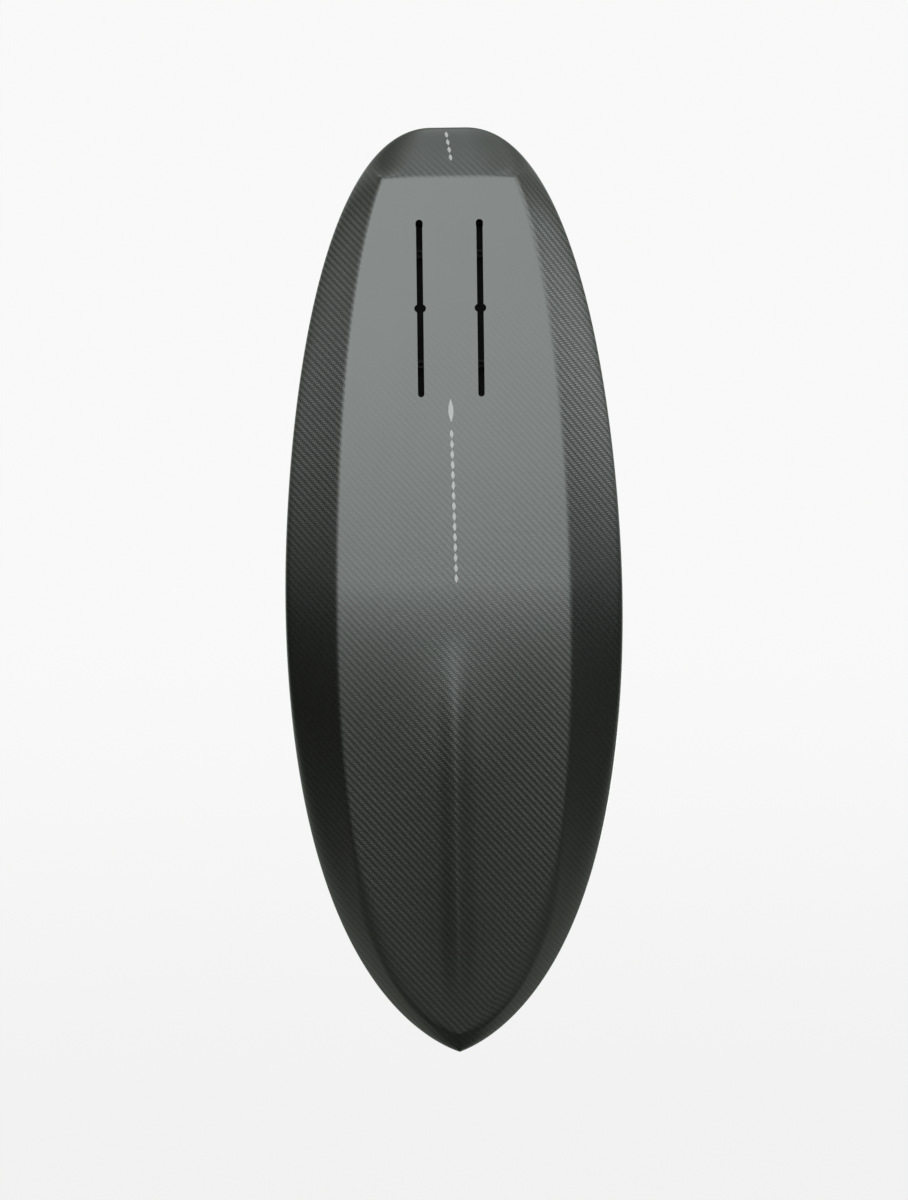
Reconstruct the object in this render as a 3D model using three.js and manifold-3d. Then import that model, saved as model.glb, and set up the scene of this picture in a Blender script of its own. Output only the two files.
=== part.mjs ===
// A carbon hydrofoil kiteboard, lying deck up on its flat bottom panel.
// Millimetres. +X points to the nose, +Y to the left edge, +Z up through the deck.
// The origin is under the middle of the board, on the plane that the bottom panel rests on.
// "Station" means the distance forward of the tail tip.
import * as THREE from "three";
import { mergeVertices } from "three/addons/utils/BufferGeometryUtils.js";
import Module from "manifold-3d";

const wasm = await Module();
wasm.setup();

// Board
const LENGTH = 1400;
const HALF_WIDTH = 254;
const DECK_HEIGHT = 66;
const SKIN = 2;
const GAP = 0.3;

// Outline: a short straight tail edge, then one curve to the widest station and one to the nose
const WIDE_STATION = 715;
const TAIL_EDGE_HALF = 26;
const TAIL_CORNER_SHARE = 0.155;

// Bottom panel: a straight tail edge, then one curve to its widest station and one to the nose
const CHINE_TAIL_STATION = 80;
const CHINE_CORNER_HALF = 100;
const CHINE_WIDE_STATION = 760;
const CHINE_HALF_WIDTH = 175;
const CHINE_NOSE_STATION = 1370;

// Lengthwise lift of the bottom and of the deck towards the nose
const BOTTOM_LIFT_START = 690;
const BOTTOM_NOSE_LIFT = 60;
const BOTTOM_LIFT_POWER = 1.7;
const DECK_LIFT_START = 960;
const DECK_NOSE_LIFT = 45;

// The rail's widest line stands this high over the bottom, less at the nose
const RAIL_RISE = 30;
const RAIL_RISE_NOSE = 9;
const RAIL_THIN_START = 900;
const BEVEL_END_SHARE = 0.9;
const BEVEL_END_RISE = 0.78;
const RAIL_ROUND_STEPS = 3;

// The level deck is the outline drawn in, from the ends and from the sides
const DECK_DRAW_IN_ENDS = 0.055;
const DECK_DRAW_IN_SIDES = 0.82;

// Keel line and the two shallow channels beside it, under the nose half
const KEEL_START = 745;
const KEEL_FULL = 1000;
const KEEL_FADE = 1180;
const KEEL_END = 1345;
const KEEL_DEPTH = 5;
const CHANNEL_DEPTH = 3;

// Mesh density of the shells
const COLUMNS_PER_SIDE = 4;
const AFT_STEPS = 8;
const FORE_STEPS = 12;
const NOSE_CROWDING = 1.3;
const ROUND_SIDES = 16;

// Foil tracks
const TRACK_SPACING = 90;
const TRACK_CENTRE = 276;
const SLOT_LENGTH = 265;
const SLOT_WIDTH = 9.5;
const NOTCH_LENGTH = 12;
const NOTCH_WIDTH = 17.4;
const END_POCKET_LENGTH = 14;
const END_POCKET_WIDTH = 10.8;
const BOX_LENGTH = 276;
const BOX_WIDTH = 29;
const BOX_TOP = 28;
const LIP_TOP = 6;
const CHANNEL_TOP = 15;
const CHANNEL_WIDTH = 18;
const RELIEF_TOP = 24;
const RELIEF_LENGTH = 255;
const BLOCK_LENGTH = 306;
const BLOCK_WIDTH = 132;
const BLOCK_TOP = 50;
const NUT_HALF_PITCH = 82.5;
const NUT_LENGTH = 11.4;
const NUT_WIDTH = 16.8;
const NUT_BOTTOM = 6.5;
const NUT_TOP = 12.5;
const NUT_HOLE_RADIUS = 3.4;

// Deck stiffener sheet and foam grip pads
const SHEET_THICKNESS = 5;
const SHEET_START = 110;
const SHEET_END = 940;
const SHEET_HALF_WIDTH = 150;
const PAD_THICKNESS = 5;
const PAD_MARGIN = 12;
const PAD_SEAM = 5;
const PAD_STATIONS = [96, 412, 640, 900];
const PAD_NAMES = ["rear_pad", "middle_pad", "front_pad"];
const PAD_SIDE_STEPS = 8;

// Footstrap inserts, in pairs either side of each foot
const STRAP_STATIONS = { rear: 300, front: 780 };
const STRAP_HALF_SPAN = 80;
const STRAP_PAIR_PITCH = 25;
const PLUG_RADIUS = 10;
const PLUG_DEPTH = 22;
const INSERT_RADIUS = 5;
const INSERT_DEPTH = 18;
const INSERT_HOLE_RADIUS = 2.5;
const INSERT_HOLE_DEPTH = 14;
const STRAP_WINDOW_LENGTH = 54;
const STRAP_WINDOW_WIDTH = 27;

// Leash plug
const LEASH_STATION = 68;
const LEASH_RADIUS = 17;
const LEASH_BORE_RADIUS = 12;
const LEASH_FLANGE_RADIUS = 20;
const LEASH_FLANGE = 1.5;
const LEASH_DEPTH = 20;
const LEASH_FLOOR = 3;
const LEASH_BAR_RADIUS = 2.5;
const LEASH_BAR_LENGTH = 28;
const LEASH_BAR_BELOW_DECK = 6;

// Air vent
const VENT_STATION = 932;
const VENT_RADIUS = 12;
const VENT_FLANGE_RADIUS = 14;
const VENT_FLANGE = 1.5;
const VENT_DEPTH = 14;
const VENT_FLOOR = 3;
const VENT_RECESS_RADIUS = 8.6;
const VENT_RECESS_DEPTH = 4;
const VENT_BORE_RADIUS = 5.3;
const VENT_LEAK_RADIUS = 1.5;
const VENT_HEAD_RADIUS = 8;
const VENT_HEAD_HEIGHT = 3.3;
const VENT_HEAD_TOP = 1.4;
const VENT_SHANK_RADIUS = 5;
const VENT_SHANK_LENGTH = 7.5;
const VENT_HEX_RADIUS = 3;
const VENT_HEX_DEPTH = 2.4;
const SEAL_RING_RADIUS = 6.3;
const SEAL_WIRE_RADIUS = 0.85;
const SEAL_GAP = 0.15;

const carbon = { color: 0x34373a, roughness: 0.3, metalness: 0.1 };
const foam = { color: 0xe9e6dc, roughness: 0.9, metalness: 0 };
const denseFoam = { color: 0xc9b26a, roughness: 0.8, metalness: 0 };
const blackPlastic = { color: 0x1f2121, roughness: 0.45, metalness: 0 };
const grip = { color: 0x3a3d40, roughness: 0.95, metalness: 0 };
const steel = { color: 0xb9bcc0, roughness: 0.3, metalness: 1 };
const darkSteel = { color: 0x4a4c4e, roughness: 0.4, metalness: 0.9 };
const brass = { color: 0xb8923f, roughness: 0.35, metalness: 1 };
const rubber = { color: 0x161616, roughness: 0.8, metalness: 0 };

const board = new THREE.Group();

function addPiece(name, geometry, finish) {
  const mesh = new THREE.Mesh(geometry, new THREE.MeshStandardMaterial(finish));
  mesh.name = name;
  board.add(mesh);
  return mesh;
}

// ---- Solids ------------------------------------------------------------

function toSolid(geometry) {
  const bare = new THREE.BufferGeometry();
  const flat = geometry.index ? geometry.toNonIndexed() : geometry;
  bare.setAttribute("position", flat.getAttribute("position"));
  const merged = mergeVertices(bare, 1e-3);
  const mesh = new wasm.Mesh({
    numProp: 3,
    vertProperties: merged.attributes.position.array,
    triVerts: new Uint32Array(merged.index.array),
  });
  return new wasm.Manifold(mesh);
}

function toGeometry(solid) {
  const mesh = solid.getMesh();
  const geometry = new THREE.BufferGeometry();
  geometry.setAttribute("position", new THREE.BufferAttribute(mesh.vertProperties, mesh.numProp));
  geometry.setIndex(new THREE.BufferAttribute(mesh.triVerts, 1));
  geometry.computeVertexNormals();
  return geometry;
}

function subtract(geometry, tools) {
  const cut = tools.reduce((solid, tool) => solid.subtract(toSolid(tool)), toSolid(geometry));
  return toGeometry(cut);
}

// ---- Simple shapes, placed by station and distance from the centre line ----

const xAt = (station) => station - LENGTH / 2;

function prism(shape, bottom, top) {
  const geometry = new THREE.ExtrudeGeometry(shape, {
    depth: top - bottom,
    bevelEnabled: false,
    curveSegments: ROUND_SIDES / 2,
  });
  return geometry.translate(0, 0, bottom);
}

function bar(station, y, length, width, bottom, top) {
  const geometry = new THREE.BoxGeometry(length, width, top - bottom);
  return geometry.translate(xAt(station), y, (bottom + top) / 2);
}

function disc(station, y, radius, bottom, top, sides = ROUND_SIDES) {
  const geometry = new THREE.CylinderGeometry(radius, radius, top - bottom, sides);
  return geometry.rotateX(Math.PI / 2).translate(xAt(station), y, (bottom + top) / 2);
}

// A prism with two round ends along X, or along Y when it is wider than it is long.
function roundEnded(station, y, length, width, bottom, top) {
  const radius = Math.min(length, width) / 2;
  const straight = Math.abs(length - width) / 2;
  const shape = new THREE.Shape();
  shape.absarc(straight, 0, radius, -Math.PI / 2, Math.PI / 2);
  shape.absarc(-straight, 0, radius, Math.PI / 2, 1.5 * Math.PI);
  const geometry = prism(shape, bottom, top);
  if (width > length) geometry.rotateZ(Math.PI / 2);
  return geometry.translate(xAt(station), y, 0);
}

// A turned piece: the profile is [radius, height] pairs, closed on the axis or on itself.
function turned(station, profile) {
  const points = profile.map(([radius, height]) => new THREE.Vector2(radius, height));
  const geometry = new THREE.LatheGeometry(points, ROUND_SIDES);
  return geometry.rotateX(Math.PI / 2).translate(xAt(station), 0, 0);
}

// ---- Plan curves ---------------------------------------------------------

function planCurve(...points) {
  return new THREE.CubicBezierCurve(...points.map(([station, y]) => new THREE.Vector2(station, y)));
}

const outlineTail = planCurve([0, TAIL_EDGE_HALF], [0, 204], [475, HALF_WIDTH], [WIDE_STATION, HALF_WIDTH]);
const outlineNose = planCurve([WIDE_STATION, HALF_WIDTH], [1273, HALF_WIDTH], [1382, 50], [LENGTH, 0]);
const chineTail = planCurve(
  [CHINE_TAIL_STATION, CHINE_CORNER_HALF],
  [160, 131],
  [350, CHINE_HALF_WIDTH],
  [CHINE_WIDE_STATION, CHINE_HALF_WIDTH],
);
const chineNose = planCurve(
  [CHINE_WIDE_STATION, CHINE_HALF_WIDTH],
  [969, CHINE_HALF_WIDTH],
  [1326, 156],
  [CHINE_NOSE_STATION, 0],
);

// Each loop has three runs on its left half: the tail edge, the aft side and the fore side.
const outline = {
  tail: (u) =>
    u < 1 / 3
      ? new THREE.Vector2(0, 3 * u * TAIL_EDGE_HALF)
      : outlineTail.getPointAt(((3 * u - 1) / 2) * TAIL_CORNER_SHARE),
  aft: (u) => outlineTail.getPointAt(TAIL_CORNER_SHARE + u * (1 - TAIL_CORNER_SHARE)),
  fore: (u) => outlineNose.getPointAt(u),
};
const chine = {
  tail: (u) => new THREE.Vector2(CHINE_TAIL_STATION, u * CHINE_CORNER_HALF),
  aft: (u) => chineTail.getPointAt(u),
  fore: (u) => chineNose.getPointAt(u),
};
const drawnIn = (point) =>
  new THREE.Vector2(
    point.x + (LENGTH / 2 - point.x) * DECK_DRAW_IN_ENDS * 2 * Math.abs(point.x / LENGTH - 0.5),
    point.y * DECK_DRAW_IN_SIDES,
  );
const deckEdge = {
  tail: (u) => drawnIn(outline.tail(u)),
  aft: (u) => drawnIn(outline.aft(u)),
  fore: (u) => drawnIn(outline.fore(u)),
};

// Half the level deck's width at a station, found by halving the edge's span.
function deckHalfWidth(station) {
  const run = station < deckEdge.aft(1).x ? deckEdge.aft : deckEdge.fore;
  let low = 0;
  let high = 1;
  for (let step = 0; step < 30; step += 1) {
    const middle = (low + high) / 2;
    if (run(middle).x < station) low = middle;
    else high = middle;
  }
  return run(low).y;
}

// ---- Heights ---------------------------------------------------------------

const smooth = THREE.MathUtils.smoothstep;

function bottomLift(station) {
  const share = Math.max(0, station - BOTTOM_LIFT_START) / (LENGTH - BOTTOM_LIFT_START);
  return BOTTOM_NOSE_LIFT * share ** BOTTOM_LIFT_POWER;
}

function bottomHeight(station, sideShare) {
  const fade = smooth(station, KEEL_START, KEEL_FULL) * (1 - smooth(station, KEEL_FADE, KEEL_END));
  const keel = -KEEL_DEPTH * (1 - sideShare);
  const channel = CHANNEL_DEPTH * Math.sin(Math.PI * sideShare);
  return bottomLift(station) + fade * (keel + channel);
}

function deckHeight(station) {
  const share = Math.max(0, station - DECK_LIFT_START) / (LENGTH - DECK_LIFT_START);
  return DECK_HEIGHT + DECK_NOSE_LIFT * share ** 2;
}

function railHeight(station) {
  const thin = smooth(station, RAIL_THIN_START, LENGTH);
  return bottomLift(station) + RAIL_RISE + thin * (RAIL_RISE_NOSE - RAIL_RISE);
}

// ---- Shells ------------------------------------------------------------------

// Shares along each run. Those of the fore run crowd towards the nose, where the outline turns most.
const evenShares = (steps) => Array.from({ length: steps + 1 }, (_, i) => i / steps);
const shares = {
  tail: evenShares(COLUMNS_PER_SIDE),
  aft: evenShares(AFT_STEPS),
  fore: evenShares(FORE_STEPS).map((share) => 1 - (1 - share) ** NOSE_CROWDING),
};

// Every [run, share, side] of a whole loop: tail centre, left side, nose, right side.
function loopSteps() {
  const left = ["tail", "aft", "fore"].flatMap((run) =>
    shares[run].slice(0, -1).map((share) => [run, share, 1]),
  );
  const right = left.slice(1).map(([run, share]) => [run, share, -1]);
  return [...left, ["fore", 1, 1], ...right.reverse()];
}

// A ring of the rail: between the bottom's edge and the outline, or the outline and the deck's edge.
function ring(fromLoop, toLoop, share, height) {
  return loopSteps().map(([run, u, side]) => {
    const from = fromLoop[run](u);
    const to = toLoop[run](u);
    const flat = from.clone().lerp(to, share);
    return new THREE.Vector3(xAt(flat.x), side * flat.y, height(from.x, to.x));
  });
}

function railRings() {
  const rings = [
    ring(chine, outline, BEVEL_END_SHARE, (from, to) => {
      const low = bottomLift(from);
      return low + (railHeight(to) - low) * BEVEL_END_RISE;
    }),
    ring(chine, outline, 1, (from, to) => railHeight(to) - GAP / 2),
  ];
  const upper = [ring(outline, deckEdge, 0, (from) => railHeight(from) + GAP / 2)];
  for (let i = 1; i < RAIL_ROUND_STEPS; i += 1) {
    const angle = ((i / RAIL_ROUND_STEPS) * Math.PI) / 2;
    const height = (from, to) => {
      const low = railHeight(from);
      return low + (deckHeight(to) - low) * Math.sin(angle);
    };
    upper.push(ring(outline, deckEdge, 1 - Math.cos(angle), height));
  }
  return { lower: rings, upper };
}

// Rows of points across a panel from its tail edge to its nose, right edge to left edge.
function panelRows(loop, height) {
  const columns = [...shares.tail.slice(1).map((share) => -share).reverse(), ...shares.tail];
  const place = (station, y, share) =>
    new THREE.Vector3(xAt(station), y, height(station, Math.abs(share)));
  const tailRow = columns.map((share) => {
    const point = loop.tail(Math.abs(share));
    return place(point.x, Math.sign(share) * point.y, share);
  });
  const rowAt = (edge) => columns.map((share) => place(edge.x, edge.y * share, share));
  const aftRows = shares.aft.slice(1).map((share) => rowAt(loop.aft(share)));
  const foreRows = shares.fore.slice(1).map((share) => rowAt(loop.fore(share)));
  return [tailRow, ...aftRows, ...foreRows];
}

// Collects points and triangles, sharing equal points and leaving out triangles of no width.
class Surface {
  constructor() {
    this.points = [];
    this.triangles = [];
    this.index = new Map();
  }

  point(p) {
    const key = [p.x, p.y, p.z].map((value) => Math.round(value * 100)).join();
    if (!this.index.has(key)) {
      this.index.set(key, this.points.length);
      this.points.push(p);
    }
    return this.index.get(key);
  }

  triangle(a, b, c) {
    const corners = [a, b, c].map((p) => this.point(p));
    if (new Set(corners).size === 3) this.triangles.push(corners);
  }

  quad(a, b, c, d) {
    this.triangle(a, b, c);
    this.triangle(a, c, d);
  }

  panel(rows, faceUp) {
    for (let i = 1; i < rows.length; i += 1) {
      for (let j = 1; j < rows[i].length; j += 1) {
        const corners = [rows[i - 1][j - 1], rows[i][j - 1], rows[i][j], rows[i - 1][j]];
        this.quad(...(faceUp ? corners : corners.reverse()));
      }
    }
  }

  // The four-sided patches are split the same way on both sides of the board.
  band(lower, upper) {
    lower.forEach((point, i) => {
      const next = (i + 1) % lower.length;
      const onLeft = i < lower.length / 2;
      if (onLeft) this.quad(point, upper[i], upper[next], lower[next]);
      else this.quad(lower[next], point, upper[i], upper[next]);
    });
  }
}

const rail = railRings();
const bottomRows = panelRows(chine, bottomHeight);
const deckRows = panelRows(deckEdge, (station) => deckHeight(station));
const chineRing = ring(chine, outline, 0, (from) => bottomHeight(from, 1));
const deckRing = ring(outline, deckEdge, 1, (from, to) => deckHeight(to));
const seamRings = [rail.lower.at(-1), rail.upper[0]];

// The whole outside of the board: bottom, bevel, rail and deck.
const hullSurface = new Surface();
hullSurface.panel(bottomRows, false);
[chineRing, ...rail.lower].reduce((below, above) => {
  hullSurface.band(below, above);
  return above;
});
const bottomTriangleCount = hullSurface.triangles.length;
hullSurface.band(...seamRings);
const deckTriangleStart = hullSurface.triangles.length;
[...rail.upper, deckRing].reduce((below, above) => {
  hullSurface.band(below, above);
  return above;
});
hullSurface.panel(deckRows, true);

// Which way is out at each point of the hull. On the seam it is level, so the two skins stay apart.
function hullNormals() {
  const geometry = new THREE.BufferGeometry().setFromPoints(hullSurface.points);
  geometry.setIndex(hullSurface.triangles.flat());
  geometry.computeVertexNormals();
  const computed = geometry.getAttribute("normal");
  const normals = hullSurface.points.map((point, i) =>
    new THREE.Vector3().fromBufferAttribute(computed, i),
  );
  seamRings.flat().forEach((point) => {
    normals[hullSurface.point(point)].setZ(0).normalize();
  });
  return normals;
}
const normals = hullNormals();

// The hull's points moved inwards by a depth.
function inset(depth) {
  return hullSurface.points.map((point, i) => point.clone().addScaledVector(normals[i], -depth));
}

function meshOf(points, triangles) {
  const geometry = new THREE.BufferGeometry().setFromPoints(triangles.flat().map((i) => points[i]));
  geometry.computeVertexNormals();
  return geometry;
}

// A shell of skin thickness over some of the hull's triangles, closed round its rim.
function shell(triangles) {
  const outer = hullSurface.points;
  const inner = inset(SKIN);
  const offset = outer.length;
  const edges = new Map();
  triangles.forEach(([a, b, c]) => {
    [
      [a, b],
      [b, c],
      [c, a],
    ].forEach(([from, to]) => edges.set(`${from},${to}`, [from, to]));
  });
  const rim = [...edges.values()].filter(([from, to]) => !edges.has(`${to},${from}`));
  const inside = triangles.map(([a, b, c]) => [a + offset, c + offset, b + offset]);
  const rimFaces = rim.flatMap(([from, to]) => [
    [to, from, from + offset],
    [to, from + offset, to + offset],
  ]);
  return meshOf([...outer, ...inner], [...triangles, ...inside, ...rimFaces]);
}

// ---- Pieces ------------------------------------------------------------------

const trackSides = [
  ["left", TRACK_SPACING / 2],
  ["right", -TRACK_SPACING / 2],
];
const ABOVE_DECK = DECK_HEIGHT + 5;
const BELOW_BOTTOM = -5;
const CORE_BOTTOM = SKIN + GAP;
const CORE_TOP = DECK_HEIGHT - SKIN - GAP;
const SHEET_BOTTOM = CORE_TOP - SHEET_THICKNESS;

// The slot's plan as cutting pieces: the slot, its rounded entry notch and its wider tail end.
function slotTools(y, bottom, top) {
  const pocketStation = TRACK_CENTRE - SLOT_LENGTH / 2 + END_POCKET_LENGTH / 2;
  return [
    roundEnded(TRACK_CENTRE, y, SLOT_LENGTH, SLOT_WIDTH, bottom, top),
    roundEnded(TRACK_CENTRE, y, NOTCH_LENGTH, NOTCH_WIDTH, bottom, top),
    roundEnded(pocketStation, y, END_POCKET_LENGTH, END_POCKET_WIDTH, bottom, top),
  ];
}

function padShape(from, to, margin, mostHalfWidth = Infinity) {
  const left = [];
  for (let i = 0; i <= PAD_SIDE_STEPS; i += 1) {
    const station = THREE.MathUtils.lerp(from, to, i / PAD_SIDE_STEPS);
    const y = Math.min(mostHalfWidth, deckHalfWidth(station) - margin);
    left.push(new THREE.Vector2(xAt(station), y));
  }
  const right = left.map((point) => new THREE.Vector2(point.x, -point.y)).reverse();
  return new THREE.Shape([...left, ...right].reverse());
}

// Every footstrap insert: its name, station and distance from the centre line.
const strapInserts = Object.entries(STRAP_STATIONS).flatMap(([foot, station]) =>
  trackSides.flatMap(([side, sign]) =>
    [-1, 1].map((end) => ({
      name: `${foot}_${side}_${end < 0 ? "aft" : "fore"}`,
      station: station + (end * STRAP_PAIR_PITCH) / 2,
      y: Math.sign(sign) * STRAP_HALF_SPAN,
    })),
  ),
);

function addBottomSkin() {
  const skin = shell(hullSurface.triangles.slice(0, bottomTriangleCount));
  const slots = trackSides.flatMap(([, y]) => slotTools(y, BELOW_BOTTOM, CORE_BOTTOM));
  addPiece("bottom_skin", subtract(skin, slots), carbon);
}

function plugHoles(bottom) {
  return strapInserts.map(({ station, y }) =>
    disc(station, y, PLUG_RADIUS + GAP, bottom, ABOVE_DECK),
  );
}

function addDeckSkin() {
  const skin = shell(hullSurface.triangles.slice(deckTriangleStart));
  const holes = [
    ...plugHoles(SHEET_BOTTOM),
    disc(LEASH_STATION, 0, LEASH_RADIUS + GAP, SHEET_BOTTOM, ABOVE_DECK),
    disc(VENT_STATION, 0, VENT_RADIUS + GAP, SHEET_BOTTOM, ABOVE_DECK),
  ];
  addPiece("deck_skin", subtract(skin, holes), carbon);
}

function addFoamCore() {
  const whole = meshOf(inset(CORE_BOTTOM), hullSurface.triangles);
  const blockRoom = bar(
    TRACK_CENTRE,
    0,
    BLOCK_LENGTH + 2 * GAP,
    BLOCK_WIDTH + 2 * GAP,
    BELOW_BOTTOM,
    BLOCK_TOP + GAP,
  );
  const sheetRoom = prism(
    padShape(SHEET_START - GAP, SHEET_END + GAP, PAD_MARGIN - GAP, SHEET_HALF_WIDTH + GAP),
    SHEET_BOTTOM - GAP,
    ABOVE_DECK,
  );
  const rooms = [
    blockRoom,
    sheetRoom,
    ...plugHoles(DECK_HEIGHT - PLUG_DEPTH - GAP),
    disc(LEASH_STATION, 0, LEASH_RADIUS + GAP, DECK_HEIGHT - LEASH_DEPTH - GAP, ABOVE_DECK),
    disc(VENT_STATION, 0, VENT_RADIUS + GAP, DECK_HEIGHT - VENT_DEPTH - GAP, ABOVE_DECK),
  ];
  addPiece("foam_core", subtract(whole, rooms), foam);
}

function addDeckSheet() {
  const plan = padShape(SHEET_START, SHEET_END, PAD_MARGIN, SHEET_HALF_WIDTH);
  const sheet = prism(plan, SHEET_BOTTOM, CORE_TOP);
  const holes = [
    ...plugHoles(BELOW_BOTTOM),
    disc(VENT_STATION, 0, VENT_RADIUS + GAP, BELOW_BOTTOM, ABOVE_DECK),
  ];
  addPiece("deck_stiffener_sheet", subtract(sheet, holes), denseFoam);
}

function addTrackBlock() {
  const block = bar(TRACK_CENTRE, 0, BLOCK_LENGTH, BLOCK_WIDTH, CORE_BOTTOM, BLOCK_TOP);
  const rooms = trackSides.map(([, y]) =>
    bar(TRACK_CENTRE, y, BOX_LENGTH + 2 * GAP, BOX_WIDTH + 2 * GAP, BELOW_BOTTOM, BOX_TOP + GAP),
  );
  addPiece("track_block", subtract(block, rooms), denseFoam);
}

function addTrackBoxes() {
  trackSides.forEach(([side, y]) => {
    const body = bar(TRACK_CENTRE, y, BOX_LENGTH, BOX_WIDTH, CORE_BOTTOM, BOX_TOP);
    const hollow = [
      ...slotTools(y, BELOW_BOTTOM, LIP_TOP + GAP),
      bar(TRACK_CENTRE, y, SLOT_LENGTH, CHANNEL_WIDTH, LIP_TOP, CHANNEL_TOP),
      roundEnded(TRACK_CENTRE, y, RELIEF_LENGTH, SLOT_WIDTH, LIP_TOP, RELIEF_TOP),
    ];
    addPiece(`${side}_track_box`, subtract(body, hollow), blackPlastic);
  });
}

function addTrackNuts() {
  trackSides.forEach(([side, y]) => {
    [
      ["rear", -1],
      ["front", 1],
    ].forEach(([end, sign]) => {
      const station = TRACK_CENTRE + sign * NUT_HALF_PITCH;
      const plate = roundEnded(station, y, NUT_LENGTH, NUT_WIDTH, NUT_BOTTOM, NUT_TOP);
      const hole = disc(station, y, NUT_HOLE_RADIUS, BELOW_BOTTOM, CHANNEL_TOP);
      addPiece(`${side}_${end}_nut`, subtract(plate, [hole]), darkSteel);
    });
  });
}

function addPads() {
  const windows = Object.values(STRAP_STATIONS).flatMap((station) =>
    [-1, 1].map((side) =>
      roundEnded(
        station,
        side * STRAP_HALF_SPAN,
        STRAP_WINDOW_LENGTH,
        STRAP_WINDOW_WIDTH,
        BELOW_BOTTOM,
        ABOVE_DECK + PAD_THICKNESS,
      ),
    ),
  );
  const bottom = DECK_HEIGHT + GAP;
  PAD_NAMES.forEach((name, i) => {
    const plan = padShape(PAD_STATIONS[i], PAD_STATIONS[i + 1] - PAD_SEAM, PAD_MARGIN);
    const pad = prism(plan, bottom, bottom + PAD_THICKNESS);
    addPiece(name, subtract(pad, windows), grip);
  });
}

function addStrapInserts() {
  strapInserts.forEach(({ name, station, y }) => {
    const bottom = DECK_HEIGHT - PLUG_DEPTH;
    const insertBottom = DECK_HEIGHT - INSERT_DEPTH;
    const plug = disc(station, y, PLUG_RADIUS, bottom, DECK_HEIGHT);
    const room = disc(station, y, INSERT_RADIUS + GAP, insertBottom - GAP, ABOVE_DECK);
    const insert = disc(station, y, INSERT_RADIUS, insertBottom, DECK_HEIGHT);
    const thread = disc(
      station,
      y,
      INSERT_HOLE_RADIUS,
      DECK_HEIGHT - INSERT_HOLE_DEPTH,
      ABOVE_DECK,
    );
    addPiece(`${name}_plug`, subtract(plug, [room]), blackPlastic);
    addPiece(`${name}_insert`, subtract(insert, [thread]), brass);
  });
}

// The cross bar lies along Y and ends inside the cup's wall.
function leashBar(radius, length) {
  const geometry = new THREE.CylinderGeometry(radius, radius, length, ROUND_SIDES / 2);
  return geometry.translate(xAt(LEASH_STATION), 0, DECK_HEIGHT - LEASH_BAR_BELOW_DECK);
}

function addLeashPlug() {
  const bottom = DECK_HEIGHT - LEASH_DEPTH;
  const flangeBottom = DECK_HEIGHT + GAP;
  const top = flangeBottom + LEASH_FLANGE;
  const cup = turned(LEASH_STATION, [
    [0, bottom],
    [LEASH_RADIUS, bottom],
    [LEASH_RADIUS, flangeBottom],
    [LEASH_FLANGE_RADIUS, flangeBottom],
    [LEASH_FLANGE_RADIUS, top],
    [LEASH_BORE_RADIUS, top],
    [LEASH_BORE_RADIUS, bottom + LEASH_FLOOR],
    [0, bottom + LEASH_FLOOR],
  ]);
  const barRoom = leashBar(LEASH_BAR_RADIUS + GAP, LEASH_BAR_LENGTH + 2 * GAP);
  addPiece("leash_plug_cup", subtract(cup, [barRoom]), blackPlastic);
  addPiece("leash_plug_bar", leashBar(LEASH_BAR_RADIUS, LEASH_BAR_LENGTH), steel);
}

function addVent() {
  const bottom = DECK_HEIGHT - VENT_DEPTH;
  const flangeBottom = DECK_HEIGHT + GAP;
  const top = flangeBottom + VENT_FLANGE;
  const recess = DECK_HEIGHT - VENT_RECESS_DEPTH;
  const housing = turned(VENT_STATION, [
    [VENT_LEAK_RADIUS, bottom],
    [VENT_RADIUS, bottom],
    [VENT_RADIUS, flangeBottom],
    [VENT_FLANGE_RADIUS, flangeBottom],
    [VENT_FLANGE_RADIUS, top],
    [VENT_RECESS_RADIUS, top],
    [VENT_RECESS_RADIUS, recess],
    [VENT_BORE_RADIUS, recess],
    [VENT_BORE_RADIUS, bottom + VENT_FLOOR],
    [VENT_LEAK_RADIUS, bottom + VENT_FLOOR],
    [VENT_LEAK_RADIUS, bottom],
  ]);
  addPiece("vent_housing", housing, blackPlastic);

  const headTop = DECK_HEIGHT + VENT_HEAD_TOP;
  const headBottom = headTop - VENT_HEAD_HEIGHT;
  const screw = turned(VENT_STATION, [
    [0, headBottom - VENT_SHANK_LENGTH],
    [VENT_SHANK_RADIUS, headBottom - VENT_SHANK_LENGTH],
    [VENT_SHANK_RADIUS, headBottom],
    [VENT_HEAD_RADIUS, headBottom],
    [VENT_HEAD_RADIUS, headTop],
    [0, headTop],
  ]);
  const key = disc(VENT_STATION, 0, VENT_HEX_RADIUS, headTop - VENT_HEX_DEPTH, ABOVE_DECK, 6);
  addPiece("vent_screw", subtract(screw, [key]), steel);

  const seal = new THREE.TorusGeometry(SEAL_RING_RADIUS, SEAL_WIRE_RADIUS, 8, ROUND_SIDES);
  seal.translate(xAt(VENT_STATION), 0, headBottom - SEAL_WIRE_RADIUS - SEAL_GAP);
  addPiece("vent_oring", seal, rubber);
}

addBottomSkin();
addDeckSkin();
addFoamCore();
addDeckSheet();
addTrackBlock();
addTrackBoxes();
addTrackNuts();
addPads();
addStrapInserts();
addLeashPlug();
addVent();

export default board;
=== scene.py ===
"""The looks of a carbon hydrofoil kiteboard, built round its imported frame.

Metres, in the frame's own axes: +X to the nose, +Y to the left edge, +Z up through the deck.
A "station" is a distance forward of the tail tip, and a "share" runs from 0 to 1.
"""

import math

import bmesh
import bpy
import numpy as np
from mathutils import Matrix, Vector


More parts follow.
